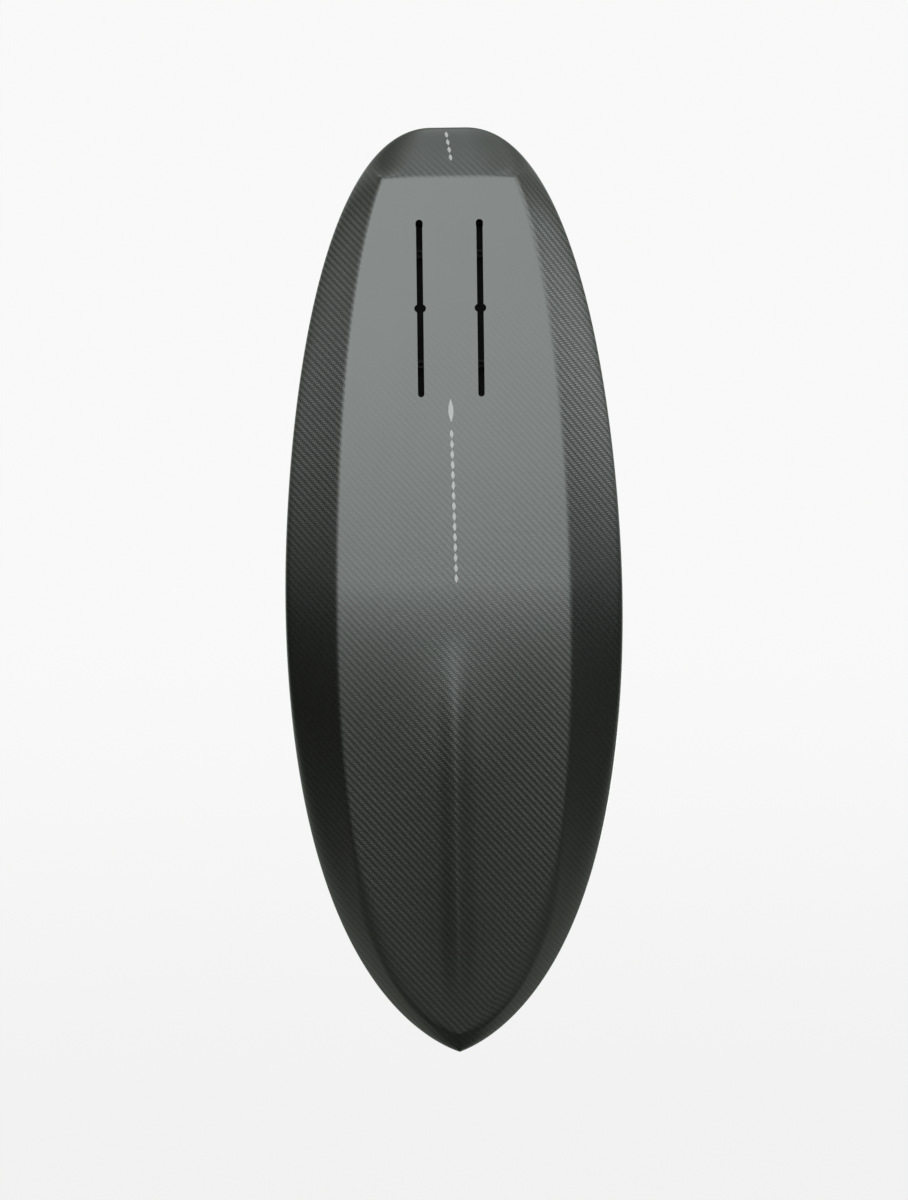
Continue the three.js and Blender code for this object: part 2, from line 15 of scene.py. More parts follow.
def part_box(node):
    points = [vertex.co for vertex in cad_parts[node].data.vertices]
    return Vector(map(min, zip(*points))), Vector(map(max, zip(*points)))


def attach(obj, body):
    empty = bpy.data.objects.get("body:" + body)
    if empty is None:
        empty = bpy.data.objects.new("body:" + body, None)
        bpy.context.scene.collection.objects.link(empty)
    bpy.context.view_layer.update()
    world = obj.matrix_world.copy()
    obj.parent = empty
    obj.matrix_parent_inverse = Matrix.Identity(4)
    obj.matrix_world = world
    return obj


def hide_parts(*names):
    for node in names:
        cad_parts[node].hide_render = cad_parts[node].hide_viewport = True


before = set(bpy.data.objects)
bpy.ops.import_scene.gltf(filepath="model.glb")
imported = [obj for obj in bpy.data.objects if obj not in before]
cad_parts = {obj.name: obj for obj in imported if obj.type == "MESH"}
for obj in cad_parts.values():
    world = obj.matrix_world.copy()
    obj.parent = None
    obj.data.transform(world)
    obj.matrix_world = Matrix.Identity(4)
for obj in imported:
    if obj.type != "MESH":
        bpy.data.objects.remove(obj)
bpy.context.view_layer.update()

MM = 0.001

# ---- Sizes read from the frame ----

SKIN_LOW, SKIN_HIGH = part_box("bottom_skin")
LENGTH = SKIN_HIGH.x - SKIN_LOW.x
HALF_WIDTH = SKIN_HIGH.y
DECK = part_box("rear_left_aft_plug")[1].z
PAD_BOTTOM, PAD_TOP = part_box("rear_pad")[0].z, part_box("rear_pad")[1].z
SLOT_SIDES = {"left": 1, "right": -1}
SLOT_Y = sum(corner.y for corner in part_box("left_track_box")) / 2
TRACK_X = sum(corner.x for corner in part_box("left_track_box")) / 2

# ---- Board shape, the same rules as the frame's ----

SKIN = 2 * MM
SEAM = 0.3 * MM
WIDE_STATION = 715 * MM
TAIL_EDGE_HALF = 26 * MM
TAIL_CORNER_SHARE = 0.155
CHINE_TAIL_STATION = 80 * MM
CHINE_CORNER_HALF = 100 * MM
CHINE_WIDE_STATION = 760 * MM
CHINE_HALF_WIDTH = 175 * MM
CHINE_NOSE_STATION = 1370 * MM
CHINE_SOFTNESS = 4 * MM
CHINE_SOFTNESS_NOSE = 26 * MM
CHINE_SOFTEN_START = 1050 * MM
CHINE_SOFTEN_END = 1330 * MM
CHINE_SOFT_SHARE_LIMIT = 0.3
CHINE_NOSE_CLOSING = 0.45
MITRE_LIMIT = 0.5

BOTTOM_LIFT_START = 690 * MM
BOTTOM_NOSE_LIFT = 60 * MM
BOTTOM_LIFT_POWER = 1.7
DECK_LIFT_START = 960 * MM
DECK_NOSE_LIFT = 45 * MM
RAIL_RISE = 30 * MM
RAIL_RISE_NOSE = 9 * MM
RAIL_THIN_START = 900 * MM
BEVEL_END_SHARE = 0.88
BEVEL_END_SHARE_ROUND = 0.35
BEVEL_NOSE_ROUND = (850 * MM, 1250 * MM)
BEVEL_TAIL_ROUND = (100 * MM, 450 * MM)
BEVEL_SLOPE = 0.76 / 0.88
DECK_DRAW_IN_ENDS = 0.055
DECK_DRAW_IN_SIDES = 0.82

KEEL_START = 745 * MM
KEEL_FULL = 1000 * MM
KEEL_FADE = 1180 * MM
KEEL_END = 1345 * MM
KEEL_DEPTH = 5 * MM
CHANNEL_DEPTH = 3 * MM
RIDGE_START = 760 * MM
RIDGE_FULL = 900 * MM
RIDGE_FADE = 1270 * MM
RIDGE_END = 1350 * MM
RIDGE_DEPTH = 1.6 * MM
RIDGE_HALF_WIDTH = 30 * MM

# ---- Mesh density and tolerances ----

TAIL_STEPS = 40
AFT_STEPS = 70
FORE_STEPS = 90
NOSE_CROWDING = 1.25
CHINE_STEPS = 6
BEVEL_STEPS = 6
RAIL_STEPS = 10
DECK_RAIL_STEPS = 12
ROUND_SIDES = 64
CURVE_SAMPLES = 801
MERGE_DISTANCE = 0.01 * MM
SLIVER_LENGTH = 0.005 * MM
SHARP_ANGLE = math.radians(32)
ON_AXIS = 1e-7
CUT_ROOM = 5 * MM

# ---- Foil tracks ----

SLOT_LENGTH = 265 * MM
SLOT_WIDTH = 9.5 * MM
NOTCH_LENGTH = 12 * MM
NOTCH_WIDTH = 17.4 * MM
END_POCKET_LENGTH = 14 * MM
END_POCKET_WIDTH = 10.8 * MM

# ---- Deck fittings ----

PLUG_RADIUS = 10 * MM
LEASH_CUP_RADIUS = 17 * MM
VENT_RADIUS = 12 * MM
FIT_GAP = 0.3 * MM
PAD_MARGIN = 12 * MM
WINDOW_LENGTH = 54 * MM
WINDOW_WIDTH = 27 * MM

CLOTH_TURN = math.radians(2.6)

# ---- Small helpers ----


def smooth(value, low, high):
    share = np.clip((value - low) / (high - low), 0, 1)
    return share * share * (3 - 2 * share)


def unit(vectors):
    return vectors / np.linalg.norm(vectors, axis=1)[:, None]


def plan_curve(*points):
    """A cubic Bezier curve in plan, read by its share of arc length."""
    corners = np.array(points, float)
    u = np.linspace(0, 1, CURVE_SAMPLES)[:, None]
    line = (
        (1 - u) ** 3 * corners[0]
        + 3 * u * (1 - u) ** 2 * corners[1]
        + 3 * u**2 * (1 - u) * corners[2]
        + u**3 * corners[3]
    )
    travelled = np.concatenate([[0], np.cumsum(np.linalg.norm(np.diff(line, axis=0), axis=1))])
    travelled /= travelled[-1]

    def at(share):
        return np.stack([np.interp(share, travelled, line[:, k]) for k in (0, 1)], axis=-1)

    return at


outline_tail = plan_curve(
    (0, TAIL_EDGE_HALF), (0, 204 * MM), (475 * MM, HALF_WIDTH), (WIDE_STATION, HALF_WIDTH)
)
outline_nose = plan_curve(
    (WIDE_STATION, HALF_WIDTH), (1273 * MM, HALF_WIDTH), (1382 * MM, 50 * MM), (LENGTH, 0)
)
chine_tail = plan_curve(
    (CHINE_TAIL_STATION, CHINE_CORNER_HALF),
    (160 * MM, 131 * MM),
    (350 * MM, CHINE_HALF_WIDTH),
    (CHINE_WIDE_STATION, CHINE_HALF_WIDTH),
)
chine_nose = plan_curve(
    (CHINE_WIDE_STATION, CHINE_HALF_WIDTH),
    (969 * MM, CHINE_HALF_WIDTH),
    (1326 * MM, 156 * MM),
    (CHINE_NOSE_STATION, 0),
)


def outline_edge(share):
    """The outline's tail run: a short straight edge, then the start of the tail curve."""
    straight = np.stack([np.zeros_like(share), 3 * share * TAIL_EDGE_HALF], axis=-1)
    curved = outline_tail(np.clip(1.5 * share - 0.5, 0, 1) * TAIL_CORNER_SHARE)
    return np.where((share < 1 / 3)[:, None], straight, curved)


def drawn_in(points):
    """The level deck's edge: the outline drawn in from the ends and from the sides."""
    reach = 2 * np.abs(points[:, 0] / LENGTH - 0.5)
    station = points[:, 0] + (LENGTH / 2 - points[:, 0]) * DECK_DRAW_IN_ENDS * reach
    return np.stack([station, points[:, 1] * DECK_DRAW_IN_SIDES], axis=-1)


TAIL_SHARES = np.linspace(0, 1, TAIL_STEPS + 1)
AFT_SHARES = np.linspace(0, 1, AFT_STEPS + 1)[1:]
FORE_SHARES = 1 - (1 - np.linspace(0, 1, FORE_STEPS + 1)[1:]) ** NOSE_CROWDING

outline = np.concatenate(
    [
        outline_edge(TAIL_SHARES),
        outline_tail(TAIL_CORNER_SHARE + AFT_SHARES * (1 - TAIL_CORNER_SHARE)),
        outline_nose(FORE_SHARES),
    ]
)
chine = np.concatenate(
    [
        np.column_stack([np.full_like(TAIL_SHARES, CHINE_TAIL_STATION), TAIL_SHARES * CHINE_CORNER_HALF]),
        chine_tail(AFT_SHARES),
        chine_nose(FORE_SHARES),
    ]
)
deck_edge = drawn_in(outline)


def deck_half_width(station):
    return np.interp(station, deck_edge[TAIL_STEPS:, 0], deck_edge[TAIL_STEPS:, 1])


# ---- Heights ----


def bottom_lift(station):
    share = np.clip(station - BOTTOM_LIFT_START, 0, None) / (LENGTH - BOTTOM_LIFT_START)
    return BOTTOM_NOSE_LIFT * share**BOTTOM_LIFT_POWER


def bottom_height(station, y, side_share):
    fade = smooth(station, KEEL_START, KEEL_FULL) * (1 - smooth(station, KEEL_FADE, KEEL_END))
    keel = -KEEL_DEPTH * (1 - side_share)
    channel = CHANNEL_DEPTH * np.sin(np.pi * side_share)
    ridge_fade = smooth(station, RIDGE_START, RIDGE_FULL) * (1 - smooth(station, RIDGE_FADE, RIDGE_END))
    near = np.clip(np.abs(y) / RIDGE_HALF_WIDTH, 0, 1)
    ridge = -RIDGE_DEPTH * (1 + np.cos(np.pi * near)) / 2
    return bottom_lift(station) + fade * (keel + channel) + ridge_fade * ridge


def deck_height(station):
    share = np.clip(station - DECK_LIFT_START, 0, None) / (LENGTH - DECK_LIFT_START)
    return DECK + DECK_NOSE_LIFT * share**2


def rail_height(station):
    thin = smooth(station, RAIL_THIN_START, LENGTH)
    return bottom_lift(station) + RAIL_RISE + thin * (RAIL_RISE_NOSE - RAIL_RISE)


# ---- Skins ----

# A region of the bottom: the panel, or the bevel and rail round it
PANEL, BEVEL = 0, 1


class Patches:
    """Grids of points that together make one skin, each with its place in the cloth's own plane."""

    def __init__(self):
        self.points, self.cloth, self.regions, self.faces = [], [], [], []

    def add(self, points, cloth, region, flip=False):
        rows, columns = points.shape[:2]
        start = len(self.points)
        self.points.extend(points.reshape(-1, 3))
        self.cloth.extend(cloth.reshape(-1, 2))
        self.regions.extend((level, 0) for level in np.broadcast_to(region, rows) for _ in range(columns))
        for i in range(rows - 1):
            for j in range(columns - 1):
                a = start + i * columns + j
                face = (a, a + 1, a + columns + 1, a + columns)
                self.faces.append(face[::-1] if flip else face)

    def build(self, name):
        mesh = bpy.data.meshes.new(name)
        mesh.from_pydata([tuple(p) for p in self.points], [], self.faces)
        corners = np.zeros(len(mesh.loops), np.int32)
        mesh.loops.foreach_get("vertex_index", corners)
        cosine, sine = math.cos(CLOTH_TURN), math.sin(CLOTH_TURN)
        cloth = np.array(self.cloth) @ np.array([[cosine, -sine], [sine, cosine]])
        for layer_name, values in (("Weave", cloth), ("Place", self.cloth), ("Region", self.regions)):
            layer = mesh.uv_layers.new(name=layer_name)
            layer.data.foreach_set("uv", np.array(values, np.float32)[corners].ravel())
        work = bmesh.new()
        work.from_mesh(mesh)
        bmesh.ops.remove_doubles(work, verts=work.verts, dist=MERGE_DISTANCE)
        bmesh.ops.dissolve_degenerate(work, edges=work.edges, dist=SLIVER_LENGTH)
        work.to_mesh(mesh)
        work.free()
        return place(name, mesh)


def place(name, mesh):
    made = bpy.data.objects.new(name, mesh)
    bpy.context.scene.collection.objects.link(made)
    return made


def both_sides(half):
    """A half loop on the left, tail centre to nose, made into a closed loop with its mirror image."""
    mirrored = half[-2:0:-1] * np.array([1, -1, 1][: half.shape[1]])
    return np.concatenate([half, mirrored, half[:1]])


def at_heights(plan, heights):
    return np.column_stack([plan[:, 0] - LENGTH / 2, plan[:, 1], heights])


def blend_lines(first, second, share):
    return first + (second - first) * share


def panel(edge, height, flip, skin):
    """A panel between the left and right halves of an edge loop, row by row from tail to nose."""
    spread = np.concatenate([-TAIL_SHARES[:0:-1], TAIL_SHARES])
    tail_row = edge[: TAIL_STEPS + 1]
    tail_row = np.concatenate([tail_row[:0:-1] * [1, -1], tail_row])
    rows = [tail_row]
    for station, half in edge[TAIL_STEPS + 1 :]:
        rows.append(np.column_stack([np.full_like(spread, station), spread * half]))
    grid = np.array(rows)
    z = height(grid[..., 0], grid[..., 1], np.abs(spread)[None, :] * np.ones((len(rows), 1)))
    points = np.dstack([grid[..., 0] - LENGTH / 2, grid[..., 1], z])
    skin.add(points, np.dstack([points[..., 0], points[..., 1]]), PANEL, flip)


def bands(rings, cloth_start, outward, regions, flip, skin):
    """Bands between rings of a half loop. The cloth unrolls along each point's outward direction."""
    steps = [np.linalg.norm(b - a, axis=1) for a, b in zip(rings, rings[1:])]
    travelled = np.cumsum([np.zeros(len(rings[0])), *steps], axis=0)
    start = cloth_start - [LENGTH / 2, 0]
    cloth = [start + outward * distance[:, None] for distance in travelled]
    points = np.array([both_sides(ring) for ring in rings])
    skin.add(points, np.array([both_sides(c) for c in cloth]), regions, flip)


def inset_chine():
    """The chine moved in from its edge by its softness, square to its own run."""
    loop = both_sides(chine)[:-1][::-1]
    behind, ahead = np.roll(loop, 1, axis=0), np.roll(loop, -1, axis=0)
    first = unit(loop - behind)
    along = unit(first + unit(ahead - loop))
    inwards = np.stack([-along[:, 1], along[:, 0]], axis=-1)
    mitre = np.maximum((first * along).sum(axis=1), MITRE_LIMIT)
    soften = smooth(loop[:, 0], CHINE_SOFTEN_START, CHINE_SOFTEN_END)
    distance = CHINE_SOFTNESS + soften * (CHINE_SOFTNESS_NOSE - CHINE_SOFTNESS)
    nose = loop[:, 0] > CHINE_WIDE_STATION
    room = distance * (1 - np.exp(-CHINE_NOSE_CLOSING * np.abs(loop[:, 1]) / distance))
    distance = np.where(nose, room, distance)
    moved = loop + inwards * (distance / mitre)[:, None]
    return moved[::-1][: len(chine)], distance[::-1][: len(chine), None]


outward = unit(outline - chine)
chine_inner, softness = inset_chine()
chine_low = bottom_lift(chine[:, 0])
rail_mid = rail_height(outline[:, 0])
nose_round = smooth(outline[:, 0], *BEVEL_NOSE_ROUND)
tail_round = 1 - smooth(outline[:, 0], *BEVEL_TAIL_ROUND)
round_share = np.maximum(nose_round, tail_round)[:, None]
bevel_end_share = BEVEL_END_SHARE + round_share * (BEVEL_END_SHARE_ROUND - BEVEL_END_SHARE)


def bevel_point(share):
    """A point on the straight bevel, as a share of the way from the chine to the outline."""
    rise = (share * BEVEL_SLOPE)[:, 0]
    return at_heights(blend_lines(chine, outline, share), blend_lines(chine_low, rail_mid, rise))


def quadratic(first, control, last, share):
    return (1 - share) ** 2 * first + 2 * share * (1 - share) * control + share**2 * last


def build_bottom_skin():
    skin = Patches()
    panel(chine_inner, bottom_height, False, skin)
    inner = at_heights(chine_inner, bottom_lift(chine_inner[:, 0]))
    corner = at_heights(chine, chine_low)
    bevel_width = np.linalg.norm(outline - chine, axis=1)[:, None]
    soft_share = np.minimum(softness / bevel_width, CHINE_SOFT_SHARE_LIMIT)
    outer = bevel_point(soft_share)
    rings = [quadratic(inner, corner, outer, share) for share in np.linspace(0, 1, CHINE_STEPS + 1)]
    bevel_end = bevel_point(bevel_end_share)
    rings += [blend_lines(outer, bevel_end, share) for share in np.linspace(0, 1, BEVEL_STEPS + 1)[1:]]
    apex = at_heights(outline, rail_mid - SEAM / 2)
    turn = bevel_point(np.ones_like(bevel_end_share))
    rings += [quadratic(bevel_end, turn, apex, share) for share in np.linspace(0, 1, RAIL_STEPS + 1)[1:]]
    regions = np.clip(np.arange(len(rings)) / CHINE_STEPS, PANEL, BEVEL)
    bands(rings, chine_inner, outward, regions, True, skin)
    return skin.build("bottom_shell")


def build_deck_skin():
    skin = Patches()
    panel(deck_edge, lambda station, y, side: deck_height(station), True, skin)
    low, high = rail_mid + SEAM / 2, deck_height(deck_edge[:, 0])
    rings = []
    for angle in np.linspace(math.pi / 2, 0, DECK_RAIL_STEPS + 1):
        plan = blend_lines(outline, deck_edge, 1 - math.cos(angle))
        rings.append(at_heights(plan, blend_lines(low, high, math.sin(angle))))
    bands(rings, deck_edge, unit(outline - deck_edge), BEVEL, False, skin)
    return skin.build("deck_shell")


# ---- Mesh tools ----


def settle(piece):
    """Applies the piece's modifiers to its mesh."""
    bpy.context.view_layer.update()
    graph = bpy.context.evaluated_depsgraph_get()
    mesh = bpy.data.meshes.new_from_object(piece.evaluated_get(graph))
    piece.modifiers.clear()
    piece.data = mesh
    return piece


def thicken(piece, depth):
    shell = piece.modifiers.new("thickness", "SOLIDIFY")
    shell.thickness = depth
    shell.offset = -1
    return settle(piece)


def cut(piece, cutters):
    """Cuts each cutter out of the piece, and removes the cutters."""
    for cutter in cutters:
        step = piece.modifiers.new("cut", "BOOLEAN")
        step.operation = "DIFFERENCE"
        step.solver = "EXACT"
        step.object = cutter
    settle(piece)
    for cutter in cutters:
        bpy.data.objects.remove(cutter)
    return piece


def stadium(x, y, length, width, sides=ROUND_SIDES):
    """A round-ended outline, anticlockwise seen from above."""
    radius, straight = min(length, width) / 2, abs(length - width) / 2
    turn = np.linspace(-math.pi / 2, math.pi / 2, sides // 2 + 1)
    cap = np.stack([straight + radius * np.cos(turn), radius * np.sin(turn)], axis=-1)
    points = np.concatenate([cap, -cap])
    if width > length:
        points = points[:, ::-1] * [-1, 1]
    return points + [x, y]


def round_off(points, radius, steps=4, closed=True, keep=()):
    """Rounds the corners of a line of points with small quadratic turns."""
    count, made = len(points), []
    points = [np.array(p, float) for p in points]
    for i, corner in enumerate(points):
        if i in keep or (not closed and i in (0, count - 1)):
            made.append(corner)
            continue
        before, after = points[i - 1] - corner, points[(i + 1) % count] - corner
        back = before * min(radius / np.linalg.norm(before), 0.45)
        ahead = after * min(radius / np.linalg.norm(after), 0.45)
        for share in np.linspace(0, 1, steps + 1):
            made.append(quadratic(corner + back, corner, corner + ahead, share))
    return np.array(made)


def inset_outline(points, distance):
    """An anticlockwise outline moved inwards."""
    ahead = np.roll(points, -1, axis=0) - points
    behind = points - np.roll(points, 1, axis=0)
    along = unit(unit(ahead) + unit(behind))
    inwards = np.stack([-along[:, 1], along[:, 0]], axis=-1)
    return points + inwards * distance


def stacked(name, layers):
    """A closed solid through outlines of equal length at rising heights: [(outline, z), ...]."""
    count = len(layers[0][0])
    points = [(*p, z) for outline_points, z in layers for p in outline_points]
    faces = [tuple(range(count))[::-1]]
    for level in range(len(layers) - 1):
        base = level * count
        for i in range(count):
            j = (i + 1) % count
            faces.append((base + i, base + j, base + count + j, base + count + i))
    top = (len(layers) - 1) * count
    faces.append(tuple(range(top, top + count)))
    mesh = bpy.data.meshes.new(name)
    mesh.from_pydata(points, [], faces)
    return place(name, mesh)


def prism(name, points, bottom, top):
    return stacked(name, [(points, bottom), (points, top)])


def turned(name, profile, x, y, sides=ROUND_SIDES):
    """A turned solid: profile is (radius, height) points, closed on the axis or on itself."""
    work = bmesh.new()
    turns = [2 * math.pi * k / sides for k in range(sides)]
    directions = [(math.cos(angle), math.sin(angle)) for angle in turns]
    rings = []
    for radius, height in profile:
        if radius < ON_AXIS:
            rings.append([work.verts.new((x, y, height))] * sides)
        else:
            places = [(x + radius * c, y + radius * s, height) for c, s in directions]
            rings.append([work.verts.new(point) for point in places])
    closed = profile[0][0] > ON_AXIS
    following = rings[1:] + rings[:1] if closed else rings[1:]
    for lower, upper in zip(rings, following):
        for k in range(sides):
            n = (k + 1) % sides
            corners = list(dict.fromkeys([lower[k], lower[n], upper[n], upper[k]]))
            if len(corners) > 2:
                work.faces.new(corners)
    bmesh.ops.recalc_face_normals(work, faces=work.faces)
    mesh = bpy.data.meshes.new(name)
    work.to_mesh(mesh)
    work.free()
    return place(name, mesh)


def thread_profile(radius, depth, pitch, bottom, top):
    """The wavy side of a threaded hole or rod, from bottom to top."""
    turns = int((top - bottom) / pitch)
    side = []
    for k in range(turns):
        side += [(radius, bottom + k * pitch), (radius + depth, bottom + (k + 0.5) * pitch)]
    return side + [(radius, bottom + turns * pitch)]


# ---- Materials ----


# Sockets of a colour Mix node
MIX_SHARE, MIX_FIRST, MIX_SECOND = 0, 6, 7


class Graph:
    """The node tree of a material or the world, with short calls for what the recipes below use."""

    def __init__(self, owner, output_kind="ShaderNodeOutputMaterial"):
        owner.use_nodes = True
        self.owner = owner
        self.tree = owner.node_tree
        self.tree.nodes.clear()
        self.output = self.tree.nodes.new(output_kind)

    def feed(self, socket, value):
        if isinstance(value, bpy.types.NodeSocket):
            self.tree.links.new(value, socket)
        elif value is not None:
            socket.default_value = value

    def node(self, kind, **inputs):
        made = self.tree.nodes.new(kind)
        for key, value in inputs.items():
            self.feed(made.inputs[key.replace("_", " ")], value)
        return made

    def math(self, operation, *values):
        made = self.tree.nodes.new("ShaderNodeMath")
        made.operation = operation
        for socket, value in zip(made.inputs, values):
            self.feed(socket, value)
        return made.outputs[0]

    def plus(self, first, second):
        return self.math("ADD", first, second)

    def minus(self, first, second):
        return self.math("SUBTRACT", first, second)

    def times(self, first, second):
        return self.math("MULTIPLY", first, second)

    def mix(self, share, first, second):
        return self.plus(first, self.times(share, self.minus(second, first)))

    def mix_colour(self, share, first, second):
        made = self.tree.nodes.new("ShaderNodeMix")
        made.data_type = "RGBA"
        self.feed(made.inputs[MIX_SHARE], share)
        self.feed(made.inputs[MIX_FIRST], first)
        self.feed(made.inputs[MIX_SECOND], second)
        return made.outputs["Result"]

    def ramp(self, value, low, high):
        made = self.tree.nodes.new("ShaderNodeMapRange")
        made.interpolation_type = "SMOOTHSTEP"
        self.feed(made.inputs["Value"], value)
        made.inputs["From Min"].default_value = low
        made.inputs["From Max"].default_value = high
        return made.outputs["Result"]

    def noise(self, vector, scale, detail):
        return self.node("ShaderNodeTexNoise", Vector=vector, Scale=scale, Detail=detail).outputs["Fac"]

    def colour(self, red, green, blue):
        return self.node("ShaderNodeCombineColor", Red=red, Green=green, Blue=blue).outputs[0]

    def place(self):
        return self.node("ShaderNodeTexCoord").outputs["Object"]

    def bump(self, height, distance, strength=1.0):
        return self.node("ShaderNodeBump", Height=height, Distance=distance, Strength=strength).outputs[0]

    def surface(self, colour, roughness, normal=None, **settings):
        """The shader. Each setting goes straight to its own socket."""
        shader = self.node("ShaderNodeBsdfPrincipled")
        self.feed(shader.inputs["Base Color"], colour)
        self.feed(shader.inputs["Roughness"], roughness)
        self.feed(shader.inputs["Normal"], normal)
        for key, value in settings.items():
            self.feed(shader.inputs[key.replace("_", " ")], value)
        self.feed(self.output.inputs["Surface"], shader.outputs[0])
        return self.owner


def new_material(name):
    return Graph(bpy.data.materials.new(name))


TOW = 2.8 * MM
ACROSS_TOW_SHEEN = 0.15
ALONG_TOW_SHEEN = 0.05
TOW_DOME = 0.2
TOW_CRIMP = 0.07
TOW_UNEVENNESS = 0.18
TOW_SEED_SHIFT = 0.37


def twill(graph, u, v, strength):
    """2 x 2 twill cloth. Returns the tows' brightness and the tilt of their tops, as a normal."""
    a, b = graph.math("DIVIDE", u, TOW), graph.math("DIVIDE", v, TOW)
    i, j = graph.math("FLOOR", a), graph.math("FLOOR", b)
    cell = graph.math("FLOORED_MODULO", graph.plus(i, j), 4.0)
    lengthwise = graph.math("LESS_THAN", cell, 1.5)
    along_a = graph.times(graph.plus(a, j), math.pi / 2)
    along_b = graph.times(graph.plus(i, b), math.pi / 2)
    across_a = graph.minus(graph.times(graph.math("FRACT", a), 2.0), 1.0)
    across_b = graph.minus(graph.times(graph.math("FRACT", b), 2.0), 1.0)
    dome = graph.times(strength, TOW_DOME * 0.5)
    crimp = graph.times(strength, TOW_CRIMP * 0.5)
    dome_a, dome_b = graph.times(across_a, dome), graph.times(across_b, dome)
    crimp_a = graph.times(graph.math("COSINE", along_a), crimp)
    crimp_b = graph.times(graph.math("COSINE", along_b), crimp)
    tilt_u = graph.mix(lengthwise, dome_a, crimp_a)
    tilt_v = graph.mix(lengthwise, crimp_b, dome_b)
    half = graph.plus(tilt_u, 0.5)
    tilt = graph.colour(half, graph.plus(tilt_v, 0.5), 1.0)
    normal = graph.node("ShaderNodeNormalMap", Color=tilt)
    normal.uv_map = "Weave"
    mean = (ACROSS_TOW_SHEEN + ALONG_TOW_SHEEN) / 2
    swing = (ACROSS_TOW_SHEEN - ALONG_TOW_SHEEN) / 2
    side = graph.minus(1.0, graph.times(lengthwise, 2.0))
    sheen = graph.plus(mean, graph.times(graph.times(side, swing), strength))
    tow_seed = graph.mix(lengthwise, i, graph.plus(j, TOW_SEED_SHIFT))
    wobble = graph.node("ShaderNodeTexWhiteNoise")
    wobble.noise_dimensions = "1D"
    graph.feed(wobble.inputs["W"], tow_seed)
    uneven = graph.times(graph.minus(wobble.outputs["Value"], 0.5), strength)
    spread = graph.plus(1.0, graph.times(uneven, TOW_UNEVENNESS))
    return graph.times(sheen, spread), normal.outputs[0]


def layer_axes(graph, layer):
    uv = graph.node("ShaderNodeUVMap")
    uv.uv_map = layer
    split = graph.node("ShaderNodeSeparateXYZ", Vector=uv.outputs[0])
    return split.outputs["X"], split.outputs["Y"]


# Painted dashes: start and end along X, number, place and slant along Y, and half width
DASH_ROWS = (
    (-0.289, -0.248, 1, 1.5 * MM, -1 * MM, 3.8 * MM),
    (-0.243, -0.012, 15, 0.5 * MM, -4.5 * MM, 2.6 * MM),
    (-0.697, -0.645, 4, 3.2 * MM, -7.5 * MM, 2.4 * MM),
)
DASH_FILL = 0.86
DASH_COLOUR = (0.62, 0.64, 0.63, 1)


def dash_mask(graph, u, v, start, end, count, offset, slant, half_width):
    """A row of slender tapered dashes, nearly along X: the slant is the drift in Y over the whole row."""
    share = graph.math("DIVIDE", graph.minus(u, start), end - start)
    inside = graph.times(graph.math("GREATER_THAN", share, 0.0), graph.math("LESS_THAN", share, 1.0))
    step = graph.math("FRACT", graph.times(share, float(count)))
    along = graph.times(graph.math("MINIMUM", step, DASH_FILL), math.pi / DASH_FILL)
    swell = graph.math("SINE", along)
    reach = graph.times(graph.math("MAXIMUM", swell, 0.0), half_width)
    middle = graph.plus(graph.times(share, slant), offset)
    distance = graph.math("ABSOLUTE", graph.minus(v, middle))
    return graph.times(inside, graph.math("LESS_THAN", distance, reach))


# How much of the cloth shows, and the stretches along X over which that changes
PANEL_CLOTH_STRETCH = (-0.5, 0.35)
PANEL_CLOTH_SKEW = 0.5
PANEL_CLOTH_DRIFT = 0.2
PANEL_CLOTH, PANEL_NOSE_CLOTH = 0.42, 0.6
PANEL_NOSE_STRETCH = (0.1, 0.4)
BEVEL_CLOTH, BEVEL_NOSE_CLOTH = 1.0, 0.2
BEVEL_NOSE_STRETCH = (-0.36, 0.0)
BEVEL_TAIL_STRETCH = (-0.7, -0.5)
CARBON_TINT = (0.96, 1.03, 0.98)
BOTTOM_ROUGHNESS, BOTTOM_ROUGHNESS_SWING = 0.24, 0.05


def bottom_carbon():
    graph = new_material("bottom_carbon")
    u, v = layer_axes(graph, "Weave")
    x, y = layer_axes(graph, "Place")
    bevel = layer_axes(graph, "Region")[0]
    cloud = graph.noise(graph.place(), 7.0, 3.0)
    # The foil area is built up smooth, so on the panel the cloth only shows through ahead of it.
    drift = graph.times(graph.minus(cloud, 0.5), PANEL_CLOTH_DRIFT)
    skewed = graph.minus(x, graph.times(y, PANEL_CLOTH_SKEW))
    ahead = graph.ramp(graph.plus(skewed, drift), *PANEL_CLOTH_STRETCH)
    panel_cloth = graph.mix(graph.ramp(x, *PANEL_NOSE_STRETCH), PANEL_CLOTH, PANEL_NOSE_CLOTH)
    bevel_cloth = graph.mix(graph.ramp(x, *BEVEL_NOSE_STRETCH), BEVEL_CLOTH, BEVEL_NOSE_CLOTH)
    on_panel = graph.times(ahead, panel_cloth)
    on_bevel = graph.times(bevel_cloth, graph.ramp(x, *BEVEL_TAIL_STRETCH))
    strength = graph.mix(bevel, on_panel, on_bevel)
    sheen, normal = twill(graph, u, v, strength)
    lead, stripe, tail_stripe = (dash_mask(graph, x, y, *row) for row in DASH_ROWS)
    paint = graph.math("MAXIMUM", lead, graph.math("MAXIMUM", stripe, tail_stripe))
    tint = graph.colour(*(graph.times(sheen, level) for level in CARBON_TINT))
    colour = graph.mix_colour(paint, tint, DASH_COLOUR)
    metal = graph.minus(1.0, paint)
    rough = graph.plus(BOTTOM_ROUGHNESS, graph.times(cloud, BOTTOM_ROUGHNESS_SWING))
    return graph.surface(
        colour, rough, normal, Metallic=metal, Coat_Weight=1.0, Coat_Roughness=0.18, Coat_IOR=1.5
    )


DECK_SHEEN = 0.6
DECK_ROUGHNESS, DECK_ROUGHNESS_SWING = 0.36, 0.1


